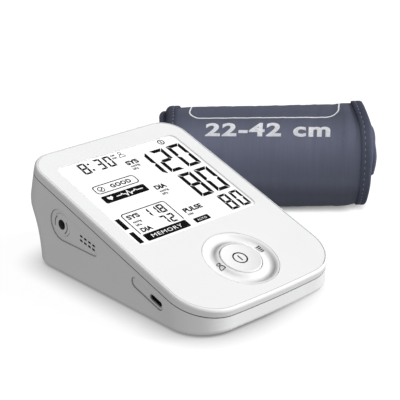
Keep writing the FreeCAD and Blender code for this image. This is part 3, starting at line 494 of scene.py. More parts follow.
# ------------------------------------------------------------------ display artwork
dark, clear = Flat(), Flat()
TH = 2.55
dark.digit("1", 6.9, 15.5, 103.5, 124.8, TH, 0.14)
dark.digit("2", 17.8, 27.9, 103.5, 124.8, TH, 0.14)
dark.digit("0", 30.8, 41.0, 103.5, 124.8, TH, 0.14)
dark.digit("8", 18.5, 28.2, 78.4, 100.2, TH, 0.14)
dark.digit("0", 30.7, 40.8, 78.4, 100.2, TH, 0.14)
dark.digit("8", 26.3, 32.8, 61.9, 75.6, 1.80, 0.10)
dark.digit("0", 35.0, 41.4, 61.9, 75.6, 1.80, 0.10)
# clock
dark.digit("8", -28.9, -23.8, 121.8, 131.4, 1.34, 0.07)
dark.digit("3", -18.1, -13.2, 121.8, 131.4, 1.34, 0.07)
dark.digit("0", -11.3, -6.5, 121.8, 131.4, 1.34, 0.07)
for y in (129.4, 123.8):
    dark.rect(-22.6, -21.2, y - 0.75, y + 0.75)
dark.text("AM", -4.0, 130.4, 1.5, 3.0, 0.03)
dark.text("PM", -4.0, 127.9, 1.5, 3.0, 0.03)
# last reading
frame_line = [(-34.6, 68.0)] + [(-32.8 + 1.8 * math.cos(math.radians(a)), 83.4 + 1.8 * math.sin(math.radians(a))) for a in range(180, 89, -15)]
frame_line += [(-6.2 + 1.8 * math.cos(math.radians(a)), 83.4 + 1.8 * math.sin(math.radians(a))) for a in range(90, -1, -15)] + [(-4.4, 68.0)]
dark.strip(frame_line, 0.70)
dark.digit("1", -21.2, -17.7, 77.0, 84.0, 1.20, 0.06)
dark.digit("1", -16.2, -12.6, 77.0, 84.0, 1.20, 0.06)
dark.digit("8", -11.9, -7.6, 77.0, 84.0, 1.20, 0.06)
dark.digit("7", -16.8, -12.6, 68.2, 75.4, 1.20, 0.06)
dark.digit("2", -11.7, -7.4, 68.2, 75.4, 1.20, 0.06)
dark.text("SYS", -28.7, 81.7, 3.1, 8.2, 0.05)
dark.text("mmHg", -29.4, 77.4, 1.6, 5.6, 0.04)
dark.text("kPa", -30.4, 74.7, 1.6, 3.6, 0.04)
dark.text("DIA", -28.8, 70.3, 3.1, 7.3, 0.05)
# labels of the large figures
dark.text("SYS", 2.9, 121.0, 3.2, 8.6, 0.055)
dark.text("mmHg", 2.6, 117.7, 1.6, 6.2, 0.04)
dark.text("kPa", 1.0, 115.2, 1.6, 3.8, 0.04)
dark.text("DIA", 2.8, 96.2, 3.2, 7.7, 0.055)
dark.text("mmHg", 2.5, 92.6, 1.6, 6.2, 0.04)
dark.text("kPa", 1.2, 90.1, 1.6, 3.8, 0.04)
dark.text("PULSE", 6.4, 73.2, 3.2, 12.9, 0.05)
dark.text("/min", 1.9, 69.8, 1.7, 4.0, 0.04)
# number in a circle
dark.ring(31.7, 129.5, 1.95, 0.72)
dark.rect(31.25, 32.1, 128.4, 130.6)
# person sign
dark.ring(1.3, 130.6, 0.95, 0.42, n=28)
dark.strip([(1.3 + 2.0 * math.cos(math.radians(a)), 127.1 + 2.2 * math.sin(math.radians(a))) for a in range(0, 181, 12)], 0.45, closed=True)
# framed tick with its word
dark.round_rect(-33.7, -4.9, 104.6, 111.2, 2.0, 0.68)
dark.ring(-29.6, 107.8, 1.95, 0.52)
dark.strip([(-30.8, 107.9), (-29.9, 106.8), (-28.3, 109.3)], 0.60)
dark.text("GOOD", -16.0, 107.9, 2.9, 14.0, 0.05, 1.15)
# pulse bar
dark.round_rect(-34.5, -4.7, 96.1, 102.3, 1.0)
heart = []
for k in range(40):
    t = 2 * math.pi * k / 40
    heart.append((-29.7 + 0.115 * 16 * math.sin(t) ** 3,
                  99.5 + 0.115 * (13 * math.cos(t) - 5 * math.cos(2 * t) - 2 * math.cos(3 * t) - math.cos(4 * t))))
clear.poly(heart)
wave = [(-25.6, 99.3), (-22.4, 99.3), (-21.6, 100.2), (-20.8, 99.3), (-19.6, 99.3), (-18.7, 97.6), (-17.3, 101.3), (-16.0, 97.7),
        (-15.2, 99.3), (-13.4, 99.3), (-12.4, 100.4), (-11.4, 99.3), (-7.2, 99.3)]
clear.strip(wave, 0.62)
# memory bar and unit bar
dark.round_rect(-34.4, -4.5, 61.5, 67.2, 0.9)
clear.text("MEMORY", -19.5, 64.35, 2.6, 21.0, 0.0, 1.15)
dark.round_rect(-0.1, 10.4, 61.9, 65.7, 0.7)
clear.text("AUTO", 5.1, 63.8, 1.5, 6.6, 0.0, 1.15)
# level bars at the left edge
for y0, y1 in ((74.1, 83.3), (61.9, 71.3)):
    dark.rect(-40.1, -37.1, y0, y1)
lcd_ink, nt, b = new_mat("lcd_black")
v = coords(nt)
nt.links.new(ramp(nt, noise(nt, v, 400.0, 2.0), (0.001, 0.001, 0.0012), (0.003, 0.003, 0.0035)), b.inputs["Base Color"])
b.inputs["Roughness"].default_value = 0.45
b.inputs["Specular IOR Level"].default_value = 0.05
lcd_clear, nt, b = new_mat("lcd_clear")
v = coords(nt)
nt.links.new(ramp(nt, noise(nt, v, 22.0, 2.0), (0.46, 0.465, 0.47), (0.50, 0.505, 0.51)), b.inputs["Base Color"])
b.inputs["Emission Color"].default_value = (1, 1, 1, 1)
b.inputs["Emission Strength"].default_value = 0.66
W_INK = -0.835


def place_lcd(w):
    def go(x, y):
        return place_top(w)(x - 0.55, y - 0.48)
    return go


segments = dark.lay("lcd_segments", place_lcd(W_INK), lcd_ink)
marks = clear.lay("lcd_clear_marks", place_lcd(W_INK + 0.012), lcd_clear)
for o in (segments, marks):
    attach(o, "monitor")

# ------------------------------------------------------------------ signs on the keys
DISH_Y = 27.8
BTN = arc_through((0.0, -0.75), (6.2, -0.50), (10.5, 0.18))
RING_OUT, RING_MID, RING_IN, RING_BEND, RING_TOP, RING_SLOPE = 20.6, 16.1, 11.75, 2.5, -0.06, math.radians(40.0)


def place_dished(arc, lift=0.035):
    cx, cy, rad = arc

    def go(x, y):
        r = np.hypot(x, y - DISH_Y)
        w = cy - np.sqrt(np.maximum(rad ** 2 - (r - cx) ** 2, 0)) + lift
        return np.stack([x, y * CA - w * SA, FRONT_HEIGHT + y * SA + w * CA], 1)
    return go


def place_trough(lift=0.035):
    """Onto the ring key: rounded lips and the hollow between them."""
    out, inn = RING_OUT - RING_MID - RING_BEND, RING_MID - RING_BEND - RING_IN
    k, sl = math.tan(RING_SLOPE / 2), math.sin(RING_SLOPE)
    turn = RING_TOP - out * k

    def go(x, y):
        r = np.clip(np.hypot(x, y - DISH_Y), RING_IN, RING_OUT)
        a = RING_TOP - out / sl + np.sqrt(np.maximum((out / sl) ** 2 - (RING_OUT - r) ** 2, 0))
        b_ = turn - RING_BEND * k + RING_BEND / sl - np.sqrt(np.maximum((RING_BEND / sl) ** 2 - (r - RING_MID) ** 2, 0))
        c = turn + inn * k - inn / sl + np.sqrt(np.maximum((inn / sl) ** 2 - (r - RING_IN) ** 2, 0))
        w = np.where(r > RING_MID + RING_BEND, a, np.where(r < RING_MID - RING_BEND, c, b_)) + lift
        return np.stack([x, y * CA - w * SA, FRONT_HEIGHT + y * SA + w * CA], 1)
    return go


key_ink = ink("key_print", (0.006, 0.006, 0.007))
power = Flat()
power.ring(0.4, 28.6, 3.85, 0.80, n=72)
power.rect(0.4 - 0.42, 0.4 + 0.42, 28.6 - 2.1, 28.6 + 2.1)
sign = power.lay("start_sign", place_dished(BTN), key_ink, 0.5, 0.5)
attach(sign, "start_button")
side = Flat()
# list sign on the right
for k in range(4):
    y = 31.5 - k * 1.22
    side.rect(14.50, 15.15, y - 0.38, y + 0.38)
    side.rect(15.45, 17.65, y - 0.38, y + 0.38)
# person on the left
side.ring(-13.95, 29.9, 0.78, 0.44, n=28)
side.strip([(-13.95 + 1.25 * math.cos(math.radians(a)), 26.0 + 2.6 * math.sin(math.radians(a))) for a in range(0, 181, 12)], 0.46, closed=True)
sign = side.lay("ring_signs", place_trough(), key_ink, 0.4, 0.4)
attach(sign, "ring_key")

# painted shade: the trough's walls that face away from the light are painted darker, in two crescents
ring = NODES["ring_key"]
back = ring.matrix_world.inverted()
mid = back @ Vector(tuple(world([0.0, DISH_Y * CA, FRONT_HEIGHT + DISH_Y * SA])))
axes = [back.to_3x3() @ Vector(a) for a in ((1.0, 0.0, 0.0), (0.0, CA, SA))]
nt, b = key_mat.node_tree, key_mat.node_tree.nodes["Principled BSDF"]
rel = nt.nodes.new("ShaderNodeVectorMath")
rel.operation = "SUBTRACT"
nt.links.new(coords(nt), rel.inputs[0])
rel.inputs[1].default_value = mid
flat = []
for a in axes:
    d = nt.nodes.new("ShaderNodeVectorMath")
    d.operation = "DOT_PRODUCT"
    nt.links.new(rel.outputs[0], d.inputs[0])
    d.inputs[1].default_value = a
    flat.append(d.outputs["Value"])
reach = math_node(nt, "SQRT", math_node(nt, "ADD", math_node(nt, "MULTIPLY", flat[0], flat[0]), math_node(nt, "MULTIPLY", flat[1], flat[1])))
dish_shade = None
for deg, r, half, wide, amount in ((104.0, 0.0138, 0.0024, 0.34, 0.54), (294.0, 0.0180, 0.0027, 0.22, 0.52)):
    along = math_node(nt, "ADD", math_node(nt, "MULTIPLY", flat[0], math.cos(math.radians(deg))), math_node(nt, "MULTIPLY", flat[1], math.sin(math.radians(deg))))
    turned = span(nt, math_node(nt, "DIVIDE", along, reach), 0.0, 1.0, wide, 0.99)
    turned = math_node(nt, "MULTIPLY", turned, turned)
    near = span(nt, math_node(nt, "ABSOLUTE", math_node(nt, "SUBTRACT", reach, r)), 1.0, 0.0, 0.0002, half)
    part = math_node(nt, "MULTIPLY", math_node(nt, "MULTIPLY", turned, near), amount)
    dish_shade = part if dish_shade is None else math_node(nt, "ADD", dish_shade, part)
# mix the painted shade into the key's colour
grey = nt.nodes.new("ShaderNodeMix")
grey.data_type = "RGBA"
nt.links.new(dish_shade, grey.inputs["Factor"])
nt.links.new(b.inputs["Base Color"].links[0].from_socket, grey.inputs["A"])
grey.inputs["B"].default_value = (0.02, 0.02, 0.021, 1)
nt.links.new(grey.outputs["Result"], b.inputs["Base Color"])

# painted shade along the cover's edge: thin dark lines drawn where the cover's face meets its rounded edge
def outline(pts, radii, d):
    """Rounded outline drawn d inside the given corners."""
    n, lines, path = len(pts), [], []
    for i in range(n):
        (xa, ya), (xb, yb) = pts[i], pts[(i + 1) % n]
        ln = math.hypot(xb - xa, yb - ya)
        lines.append(((xa - (yb - ya) / ln * d, ya + (xb - xa) / ln * d), (xb - xa, yb - ya)))
    cor = []
    for i in range(n):
        (xa, ya), (ux, uy) = lines[i - 1]
        (xb, yb), (vx, vy) = lines[i]
        f = ((xb - xa) * vy - (yb - ya) * vx) / (ux * vy - uy * vx)
        cor.append(np.array([xa + ux * f, ya + uy * f]))
    for i in range(n):
        p = cor[i]
        ua, ub = cor[i - 1] - p, cor[(i + 1) % n] - p
        ua, ub = ua / np.linalg.norm(ua), ub / np.linalg.norm(ub)
        ang = math.acos(float(np.clip(ua @ ub, -1, 1)))
        r = radii[i] - d
        c = p + (ua + ub) / np.linalg.norm(ua + ub) * r / math.sin(ang / 2)
        e0, e1 = p + ua * r / math.tan(ang / 2) - c, p + ub * r / math.tan(ang / 2) - c
        a0 = math.atan2(e0[1], e0[0])
        sweep = (math.atan2(e1[1], e1[0]) - a0 + math.pi) % (2 * math.pi) - math.pi
        for q in np.linspace(0, 1, 25):
            path.append((c[0] + r * math.cos(a0 + sweep * q), c[1] + r * math.sin(a0 + sweep * q)))
    return path


edge = outline([(-53.0, 0.9), (0.0, -1.2), (53.0, 0.9), (53.0, 146.6), (-53.0, 146.6)], [24.0, 700.0, 24.0, 15.0, 15.0], 1.72)
# painted shade lines: name, path, tone (darkest along the right edge) and width
for name, path, tone, width in (("cover_edge_shade_front", edge[96:] + edge[:57], 0.50, 0.30), ("cover_edge_shade_right", edge[56:97], 0.16, 0.36)):
    edge_shade_line = Flat()
    edge_shade_line.strip(path, width)
    o = edge_shade_line.lay(name, place_top(0.010), ink(name + "_grey", (tone, tone, tone * 1.01), 0.6))
    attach(o, "monitor")

# a black sheet behind the sound holes: painted shade, standing in for the dark inside them
from mathutils.bvhtree import BVHTree
wall_mesh = NODES["lower_case"].data
wall_tree = BVHTree.FromPolygons([v.co.copy() for v in wall_mesh.vertices], [tuple(f.vertices) for f in wall_mesh.polygons])
hole_shade_pts, hole_shade_faces = [], []
for k, (vy, vz) in enumerate([(93.05, 29.7), (89.65, 29.0), (86.25, 28.3), (82.85, 27.6), (93.4, 27.0), (90.0, 26.4), (86.6, 25.8), (83.2, 25.2)]):
    hit = wall_tree.ray_cast(Vector(tuple(world([-80.0, vy, vz + (-1.33 if k < 4 else 1.33)]))), Vector((1.0, 0.0, 0.0)))[0]
    at = (hit.x - float(world([0.0, 0.0, 0.0])[0])) * 1000.0
    n0 = len(hole_shade_pts)
    for x in (at + 0.30, at + 0.70):
        hole_shade_pts += [(x, vy - 1.14, vz - 0.90), (x, vy + 1.14, vz - 0.44), (x, vy + 1.14, vz + 0.90), (x, vy - 1.14, vz + 0.44)]
    for f in ((0, 3, 2, 1), (4, 5, 6, 7), (0, 1, 5, 4), (1, 2, 6, 5), (2, 3, 7, 6), (3, 0, 4, 7)):
        hole_shade_faces.append(tuple(n0 + i for i in f))
o = add_mesh("sound_hole_shade", np.array(hole_shade_pts), hole_shade_faces, rubber("hole_shade_black", (0.008, 0.008, 0.009), 0.95, 0.3), None, False)
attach(o, "monitor")

# printed arcs round the air socket
ring_ink = ink("socket_print", (0.085, 0.085, 0.09))
arcs = Flat()
arcs.ring(JACK[0] + 0.4, JACK[1] - 0.1, 5.15, 0.55, -18.0, 56.0, n=24)
arcs.ring(JACK[0] + 0.4, JACK[1] - 0.1, 5.15, 0.55, 150.0, 238.0, n=24)


def place_left(x):
    def go(y, z):
        return np.stack([np.full_like(y, x), y, z], 1)
    return go


o = arcs.lay("socket_arcs", place_left(-51.975), ring_ink)
o.data.flip_normals()
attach(o, "monitor")

# ------------------------------------------------------------------ rolled cuff
AXA = np.array([70.2, 160.4, 29.0])
AXB = np.array([148.6, 65.0, 32.5])
LEN = float(np.linalg.norm(AXB - AXA))
AX = (AXB - AXA) / LEN
E1 = np.array([AX[1], -AX[0], 0.0])
E1 /= np.linalg.norm(E1)
E2 = np.cross(AX, E1)
if E2[2] < 0:
    E2 = -E2
R0, R1 = 29.0, 32.5
THICK, PITCH, TURNS = 4.6, 5.4, 3.9
PSI0 = math.radians(200.0)
TAPE_UP, TAPE_DN = 0.40, 0.15
RIGHT_PSI = np.array([-160, -120, -90, -60, -38, -13.5, 0, 18, 36, 53, 66, 78, 96, 120, 150, 200.0])
RIGHT_S = np.array([121.2, 121.0, 121.4, 122.3, 123.4, 124.9, 125.2, 126.1, 126.0, 124.9, 123.0, 121.3, 119.5, 119.0, 120.0, 121.2])
SHOW_PSI = np.array([-160, -60, -9, -6, 0, 8, 18, 28, 36, 45, 58, 66, 80, 120, 200.0])
SHOW_S = np.array([-2.0, -2.0, -1.6, 1.5, 1.9, 2.2, 2.1, 1.7, 1.2, 1.7, 1.8, 0.95, -0.4, -2.0, -2.0])
LEFT_PSI = np.array([-160, -90, -40, 18, 45, 70, 88, 120, 200.0])
LEFT_S = np.array([1.2, 1.3, 1.5, 3.3, 2.7, 1.6, 0.3, 0.3, 1.0])


def smooth(x):
    x = np.clip(x, 0.0, 1.0)
    return x * x * (3 - 2 * x)


def soft_table(x, xs, ys, half=4.0):
    """Table lookup rounded over a few degrees."""
    return sum(np.interp(x + d, xs, ys) for d in np.linspace(-half, half, 9)) / 9.0


def turn_of(t):
    u = t / (2 * math.pi)
    k = np.floor(u + 1e-9)
    return k + smooth((u - k - 0.84) / 0.16)


def psi_deg(t):
    """Angle round the roll, brought to the lookup range -160 to 200 degrees."""
    a = np.degrees(PSI0 - t)
    return (a + 160.0) % 360.0 - 160.0


def edges(t):
    a, g = psi_deg(t), turn_of(t)
    right = soft_table(a, RIGHT_PSI, RIGHT_S)
    left = soft_table(a, LEFT_PSI, LEFT_S)
    show = soft_table(a, SHOW_PSI, SHOW_S, 1.2)
    right = right + np.interp(g, [0, 1, 2, 3, 4], [0, 1, 0, 0, 0]) * show + np.interp(g, [0, 1, 2, 3, 4], [0, 0, -0.8, -2.2, -3.6])
    left = left + np.interp(g, [0, 1, 2, 3, 4], [0, -4.3, -3.6, -2.4, -1.2])
    return left, right


rng = np.random.default_rng(7)
WAVES = []
for lam_s, lam_a, amp, count in ((4.5, 90.0, 0.020, 6), (11.0, 120.0, 0.035, 6), (60.0, 140.0, 0.05, 4)):
    for _ in range(count):
        WAVES.append((2 * math.pi / (lam_s * rng.uniform(0.7, 1.4)), 2 * math.pi / (lam_a * rng.uniform(0.6, 1.5)) * rng.choice([-1, 1]),
                      amp * rng.uniform(0.6, 1.3), rng.uniform(0, 2 * math.pi)))


def ripple(s, arc):
    w = np.zeros(np.broadcast(s, arc).shape)
    for ks, ka, amp, ph in WAVES:
        w = w + amp * np.sin(ks * s + ka * arc + ph)
    return w


def tape_width(t):
    return np.interp(psi_deg(t), [-160, -40, 0, 18, 96, 200], [6.4, 5.6, 5.9, 6.7, 7.0, 6.6])


def sag(t, s):
    """The roll settles on the table: fuller low down along its middle, drawn in under its right end, and the inner
    turn's left end springs out past the edge of the turn around it."""
    a, g = psi_deg(t), turn_of(t)
    deep = np.interp(g, [0, 1, 2, 3, 4], [1.0, 0.8, 0.5, 0.2, 0.0])
    middle = smooth((s - 18.0) / 32.0) * (1 - smooth((s - 66.0) / 42.0))
    wide = smooth((s - 20.0) / 40.0) * (1 - smooth((s - 98.0) / 22.0))
    full = (2.2 * middle + 0.35 * wide) * np.exp(-((a + 60.0) / 30.0) ** 2)
    drawn = 2.8 * smooth((s - 103.0) / 16.0) * np.exp(-((a + 72.0) / 38.0) ** 2)
    crown = (1.15 * s / LEN - 0.55) * np.exp(-((a - 100.0) / 45.0) ** 2)
    lip = 2.2 * smooth((soft_table(a, LEFT_PSI, LEFT_S) - 0.1 - s) / 1.8) * np.interp(g, [0, 0.6, 1, 2, 3], [0, 1, 1, 0.6, 0])
    return (full - drawn + crown) * deep + lip


def cuff_points(t, s, n):
    """Point of the roll: t turns inwards from the flap's end, s along the axis, n out from the sheet's middle."""
    t, s, n = np.broadcast_arrays(np.asarray(t, float), np.asarray(s, float), np.asarray(n, float))
    r = R0 + (R1 - R0) * s / LEN - PITCH * turn_of(t) - THICK / 2 + n + sag(t, s)
    psi = PSI0 - t
    p = AXA + s[..., None] * AX + (r * np.cos(psi))[..., None] * E1 + (r * np.sin(psi))[..., None] * E2
    z = p[..., 2]
    p[..., 2] = 0.5 * (z + np.sqrt(z * z + 0.36))
    return p


def skin(t, s):
    """How far the outer face stands above the sheet's middle: nipped in beside the tapes, crowned between."""
    left, right = edges(t)
    d = np.minimum(s - left, right - s)
    w = tape_width(t)
    lift = -0.80 - 0.95 * s / LEN + 0.75 * smooth((s - 100.0) / 12.0) * smooth(0.5 + 0.9 * np.sin(np.radians(psi_deg(t)) - 0.2)) + 0.28 * smooth((d - w + 0.5) / 6.5)
    lift = lift + 1.3 * smooth((s - 103.0) / 11.0) * np.exp(-((psi_deg(t) + 75.0) / 42.0) ** 2)
    return THICK / 2 + lift + ripple(s, t * 31.0) * smooth((d - w) / 9.0)


N_T, N_S = 520, 84
T_END = TURNS * 2 * math.pi
tt = np.linspace(0.0, T_END, N_T)
left, right = edges(tt)
# more points beside the edges, where the sheet is nipped in
vv = np.linspace(0, 1, N_S)
vv = vv - 0.10 * np.sin(2 * math.pi * vv) / (2 * math.pi) * 2
S = left[:, None] + (right - left)[:, None] * vv[None, :]
Tg = np.repeat(tt[:, None], N_S, 1)
ends = smooth(Tg * 31.0 / 5.0)
n_out = (skin(Tg, S) - THICK / 2) + THICK / 2 * (0.72 + 0.28 * ends)
outer = cuff_points(Tg, S, n_out)
inner = cuff_points(Tg, S, np.full_like(S, -THICK / 2 + 0.05))
loop = np.concatenate([outer, inner[:, ::-1]], 1)
arc = Tg * 31.0
uv_o = np.stack([arc, S], 2) * 0.1
uv = np.concatenate([uv_o, uv_o[:, ::-1]], 1).reshape(-1, 2)
faces = sweep_faces(N_T, 2 * N_S, True, True)
for i, rev in ((0, False), (N_T - 1, True)):
    for j in range(N_S - 1):
        a, b_ = i * 2 * N_S + j, i * 2 * N_S + j + 1
        c, d = i * 2 * N_S + 2 * N_S - 2 - j, i * 2 * N_S + 2 * N_S - 1 - j
        faces.append((a, d, c, b_) if rev else (a, b_, c, d))


def cloth(name, base, period, rough, sheen, streak, painted_shade_levels, depth=0.00010):
    """Woven cloth: over-and-under threads in the bump, uneven dye, long faint streaks, a soft sheen, and light and
    shade painted round the roll.
    """
    m, nt, b = new_mat(name)
    uvc = uv_coords(nt)
    # threads: the layout's unit is a centimetre
    k = 10.0 / period
    threads = []
    for direction in ("X", "Y"):
        w = nt.nodes.new("ShaderNodeTexWave")
        w.wave_type = "BANDS"
        w.bands_direction = direction
        w.wave_profile = "SIN"
        w.inputs["Scale"].default_value = k * math.pi / 10.0
        w.inputs["Distortion"].default_value = 0.6
        w.inputs["Detail"].default_value = 1.0
        w.inputs["Detail Scale"].default_value = 2.0
        nt.links.new(uvc, w.inputs["Vector"])
        threads.append(w.outputs["Fac"])
    ck = nt.nodes.new("ShaderNodeTexChecker")
    ck.inputs["Scale"].default_value = k
    nt.links.new(uvc, ck.inputs["Vector"])
    mx = nt.nodes.new("ShaderNodeMix")
    nt.links.new(ck.outputs["Fac"], mx.inputs["Factor"])
    nt.links.new(threads[0], mx.inputs["A"])
    nt.links.new(threads[1], mx.inputs["B"])
    weave = mx.outputs["Result"]
    v = uv_coords(nt, (0.12, 2.6, 1.0))
    streaks = noise(nt, v, 3.0, 4.0, 0.65)
    dye = noise(nt, coords(nt), 45.0, 3.0, 0.6)
    tone = math_node(nt, "ADD", math_node(nt, "MULTIPLY", streaks, 0.65), math_node(nt, "MULTIPLY", dye, 0.35))
    col = ramp(nt, tone, tint(base, 1 - streak), tint(base, 1 + streak), 0.36, 0.64)
    shade = nt.nodes.new("ShaderNodeMix")
    shade.data_type = "RGBA"
    shade.blend_type = "MULTIPLY"
    shade.inputs["Factor"].default_value = 0.35
    nt.links.new(col, shade.inputs["A"])
    nt.links.new(ramp(nt, weave, (0.45, 0.45, 0.48), (1, 1, 1), 0.0, 0.6), shade.inputs["B"])
    # painted light and shade round the roll: the front of the outer turn is painted lighter, the top and the underside
    # darker
    sep = nt.nodes.new("ShaderNodeSeparateXYZ")
    nt.links.new(uvc, sep.inputs["Vector"])
    roll_shade_ramp = nt.nodes.new("ShaderNodeValToRGB")
    roll_shade_ramp.color_ramp.interpolation = "EASE"
    stops = roll_shade_ramp.color_ramp.elements
    for at, level in zip((0.0, 0.132, 0.280, 0.426, 0.511, 0.658, 0.836, 1.0), painted_shade_levels):
        e = stops[0] if at == 0.0 else stops[-1] if at == 1.0 else stops.new(at)
        e.position = at
        e.color = (level, level, level, 1.0)
    nt.links.new(span(nt, sep.outputs["X"], 0.0, 1.0, 4.8, 20.0), roll_shade_ramp.inputs["Fac"])
    roll_shade_mix = nt.nodes.new("ShaderNodeMix")
    roll_shade_mix.data_type = "RGBA"
    roll_shade_mix.blend_type = "MULTIPLY"
    roll_shade_mix.inputs["Factor"].default_value = 1.0
    nt.links.new(shade.outputs["Result"], roll_shade_mix.inputs["A"])
    nt.links.new(roll_shade_ramp.outputs["Color"], roll_shade_mix.inputs["B"])
    nt.links.new(roll_shade_mix.outputs["Result"], b.inputs["Base Color"])
    nt.links.new(span(nt, streaks, rough - 0.06, rough + 0.08), b.inputs["Roughness"])
    bump(nt, b, weave, 0.5, depth)
    b.inputs["Specular IOR Level"].default_value = 0.12
    b.inputs["Sheen Weight"].default_value = sheen
    b.inputs["Sheen Roughness"].default_value = 0.45
    b.inputs["Sheen Tint"].default_value = (0.75, 0.78, 0.95, 1)
    return m


# the last tuple gives the levels of the painted light and shade round the roll
cloth_mat = cloth("cuff_nylon", (0.208, 0.224, 0.312), 0.55, 0.58, 0.0, 0.045, (0.50, 0.52, 0.95, 0.74, 0.50, 0.36, 0.85, 0.85))
tape_mat = cloth("cuff_tape", (0.118, 0.129, 0.190), 0.75, 0.66, 0.0, 0.05, (0.47, 0.50, 0.90, 0.83, 0.66, 0.60, 0.95, 0.95), depth=0.00016)
sheet = add_mesh("cuff_sheet", loop.reshape(-1, 3), faces, cloth_mat, uv)
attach(sheet, "cuff")
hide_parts("cuff_outer_cover", "cuff_bladder", "cuff_inner_cover", "cuff_inner_roll", "cuff_hook_patch")

# binding tape: folded over both long edges and across the flap's end, pressed in along the stitching
no, ni = THICK / 2 + TAPE_UP, THICK / 2 + TAPE_DN
PROFILE = [(6.92, no - 2.25), (7.02, no - 0.80), (6.90, no - 0.22), (6.5, no), (5.2, no + 0.04), (4.75, no), (4.45, no - 0.12), (4.15, no), (3.6, no + 0.05),
           (2.2, no + 0.04), (1.1, no - 0.10), (0.35, no - 0.55), (-0.12, no - 1.2), (-0.32, 0.6), (-0.32, -0.6), (-0.12, -ni + 1.2), (0.35, -ni + 0.55),
           (1.1, -ni + 0.1), (2.2, -ni), (6.5, -ni), (6.85, -ni + 0.05), (7.0, -ni + 0.25), (6.98, -ni + 0.6), (2.2, -ni + 0.55), (0.9, -ni + 1.2),
           (0.7, 0.0), (0.9, no - 1.2), (2.2, no - 0.6)]
PD = np.array([p[0] for p in PROFILE])
PN = np.array([p[1] for p in PROFILE])
K = len(PROFILE)


def cap_faces(rows, k):
    return [tuple(range(k))[::-1], tuple((rows - 1) * k + j for j in range(k))]


tapes = []
tq = np.linspace(0.0, T_END, 560)
lq, rq = edges(tq)
wq = tape_width(tq)
for name, at, sgn, flip in (("cuff_tape_left", lq, 1.0, True), ("cuff_tape_right", rq, -1.0, False)):
    d = PD[None, :] * (wq / 7.0)[:, None]
    s = at[:, None] + sgn * d
    pts = cuff_points(np.repeat(tq[:, None], K, 1), s, np.repeat(PN[None, :], len(tq), 0))
    per = np.concatenate([[0], np.cumsum(np.hypot(np.diff(PD), np.diff(PN)))])
    uvt = np.stack([np.repeat((tq * 31.0)[:, None], K, 1), np.repeat(per[None, :], len(tq), 0)], 2) * 0.1
    fc = sweep_faces(len(tq), K, True, flip)
    caps = cap_faces(len(tq), K)
    fc += [c[::-1] for c in caps] if flip else caps
    o = add_mesh(name, pts.reshape(-1, 3), fc, tape_mat, uvt.reshape(-1, 2))
    tapes.append(o)
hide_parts("cuff_binding_left")
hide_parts("cuff_binding_right")
# across the flap's end
sq = np.linspace(lq[0] + 0.4, rq[0] - 0.4, 90)
d = np.repeat(PD[None, :], len(sq), 0)
pts = cuff_points(d / 30.0, np.repeat(sq[:, None], K, 1), np.repeat((PN * 0.985)[None, :], len(sq), 0))
uvt = np.stack([np.repeat(sq[:, None], K, 1), np.repeat(per[None, :], len(sq), 0)], 2) * 0.1
fc = sweep_faces(len(sq), K, True, True)
fc += [c[::-1] for c in cap_faces(len(sq), K)]
tapes.append(add_mesh("cuff_tape_end", pts.reshape(-1, 3), fc, tape_mat, uvt.reshape(-1, 2)))
for o, slot_name in zip(tapes, ("cuff_binding_left", "cuff_binding_right", "cuff_binding_right")):
    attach(o, "cuff")

# stitching: short thread runs along the tapes
thread_pts, thread_faces = [], []


def add_stitch(line, up, across, rad):
    """One thread run: a flattened tube along a short line, dipping into the cloth at both ends."""
    n, m_ = len(line), 6
    base = sum(len(p) for p in thread_pts)
    ring = []
    for i in range(n):
        f = i / (n - 1)
        k = math.sqrt(max(0.0, 1 - (2 * f - 1) ** 4)) * 0.92 + 0.08
        for j in range(m_):
            a = 2 * math.pi * j / m_
            ring.append(line[i] + across[i] * (rad * k * math.cos(a)) + up[i] * (rad * (0.75 * k * math.sin(a) - (1 - k) * 0.6)))
    thread_pts.append(np.array(ring))
    thread_faces.extend(sweep_faces(n, m_, True, False, base))
    thread_faces.append(tuple(base + j for j in range(m_))[::-1])
    thread_faces.append(tuple(base + (n - 1) * m_ + j for j in range(m_)))


STITCH, GAP = 1.9, 1.5
for which, sgn in ((0, 1.0), (1, -1.0)):
    a = 8.5
    while a < 2 * math.pi * 31.0 * 1.02:
        ta = np.linspace(a, a + STITCH, 5) / 31.0
        e = edges(ta)[which] + sgn * 4.45 * tape_width(ta) / 7.0
        line = cuff_points(ta, e, np.full(5, no - 0.08))
        top_ = cuff_points(ta, e, np.full(5, no + 0.92))
        along = cuff_points(ta, e + 1.0, np.full(5, no - 0.08))
        add_stitch(line, top_ - line, along - line, 0.21)
        a += STITCH + GAP
a = lq[0] + 8.0
while a < rq[0] - 8.0:
    sa = np.linspace(a, a + STITCH, 5)
    te = np.full(5, 4.45 / 30.0)
    line = cuff_points(te, sa, np.full(5, (no - 0.08) * 0.985))
    top_ = cuff_points(te, sa, np.full(5, (no + 0.92) * 0.985))
    along = cuff_points(te + 1.0 / 30.0, sa, np.full(5, (no - 0.08) * 0.985))
    add_stitch(line, top_ - line, along - line, 0.21)
    a += STITCH + GAP
m, nt, b = new_mat("stitch_thread")
v = coords(nt)
nt.links.new(ramp(nt, noise(nt, v, 1500.0, 2.0), (0.22, 0.23, 0.28), (0.38, 0.39, 0.45)), b.inputs["Base Color"])
b.inputs["Roughness"].default_value = 0.6
bump(nt, b, noise(nt, v, 6000.0, 2.0), 0.4, 0.00003)
o = add_mesh("cuff_stitches", np.concatenate(thread_pts), thread_faces, m)
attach(o, "cuff")


def place_cuff(lift):
    """Artwork on the cuff's outer turn: x is along the axis, y is the arc up from the front's middle height."""
    def go(x, y):
        psi = y / 31.0
        t = PSI0 - psi
        return cuff_points(t, x, skin(t, x) + lift)
    return go


def arc_at(deg):
    return math.radians(deg) * 31.0


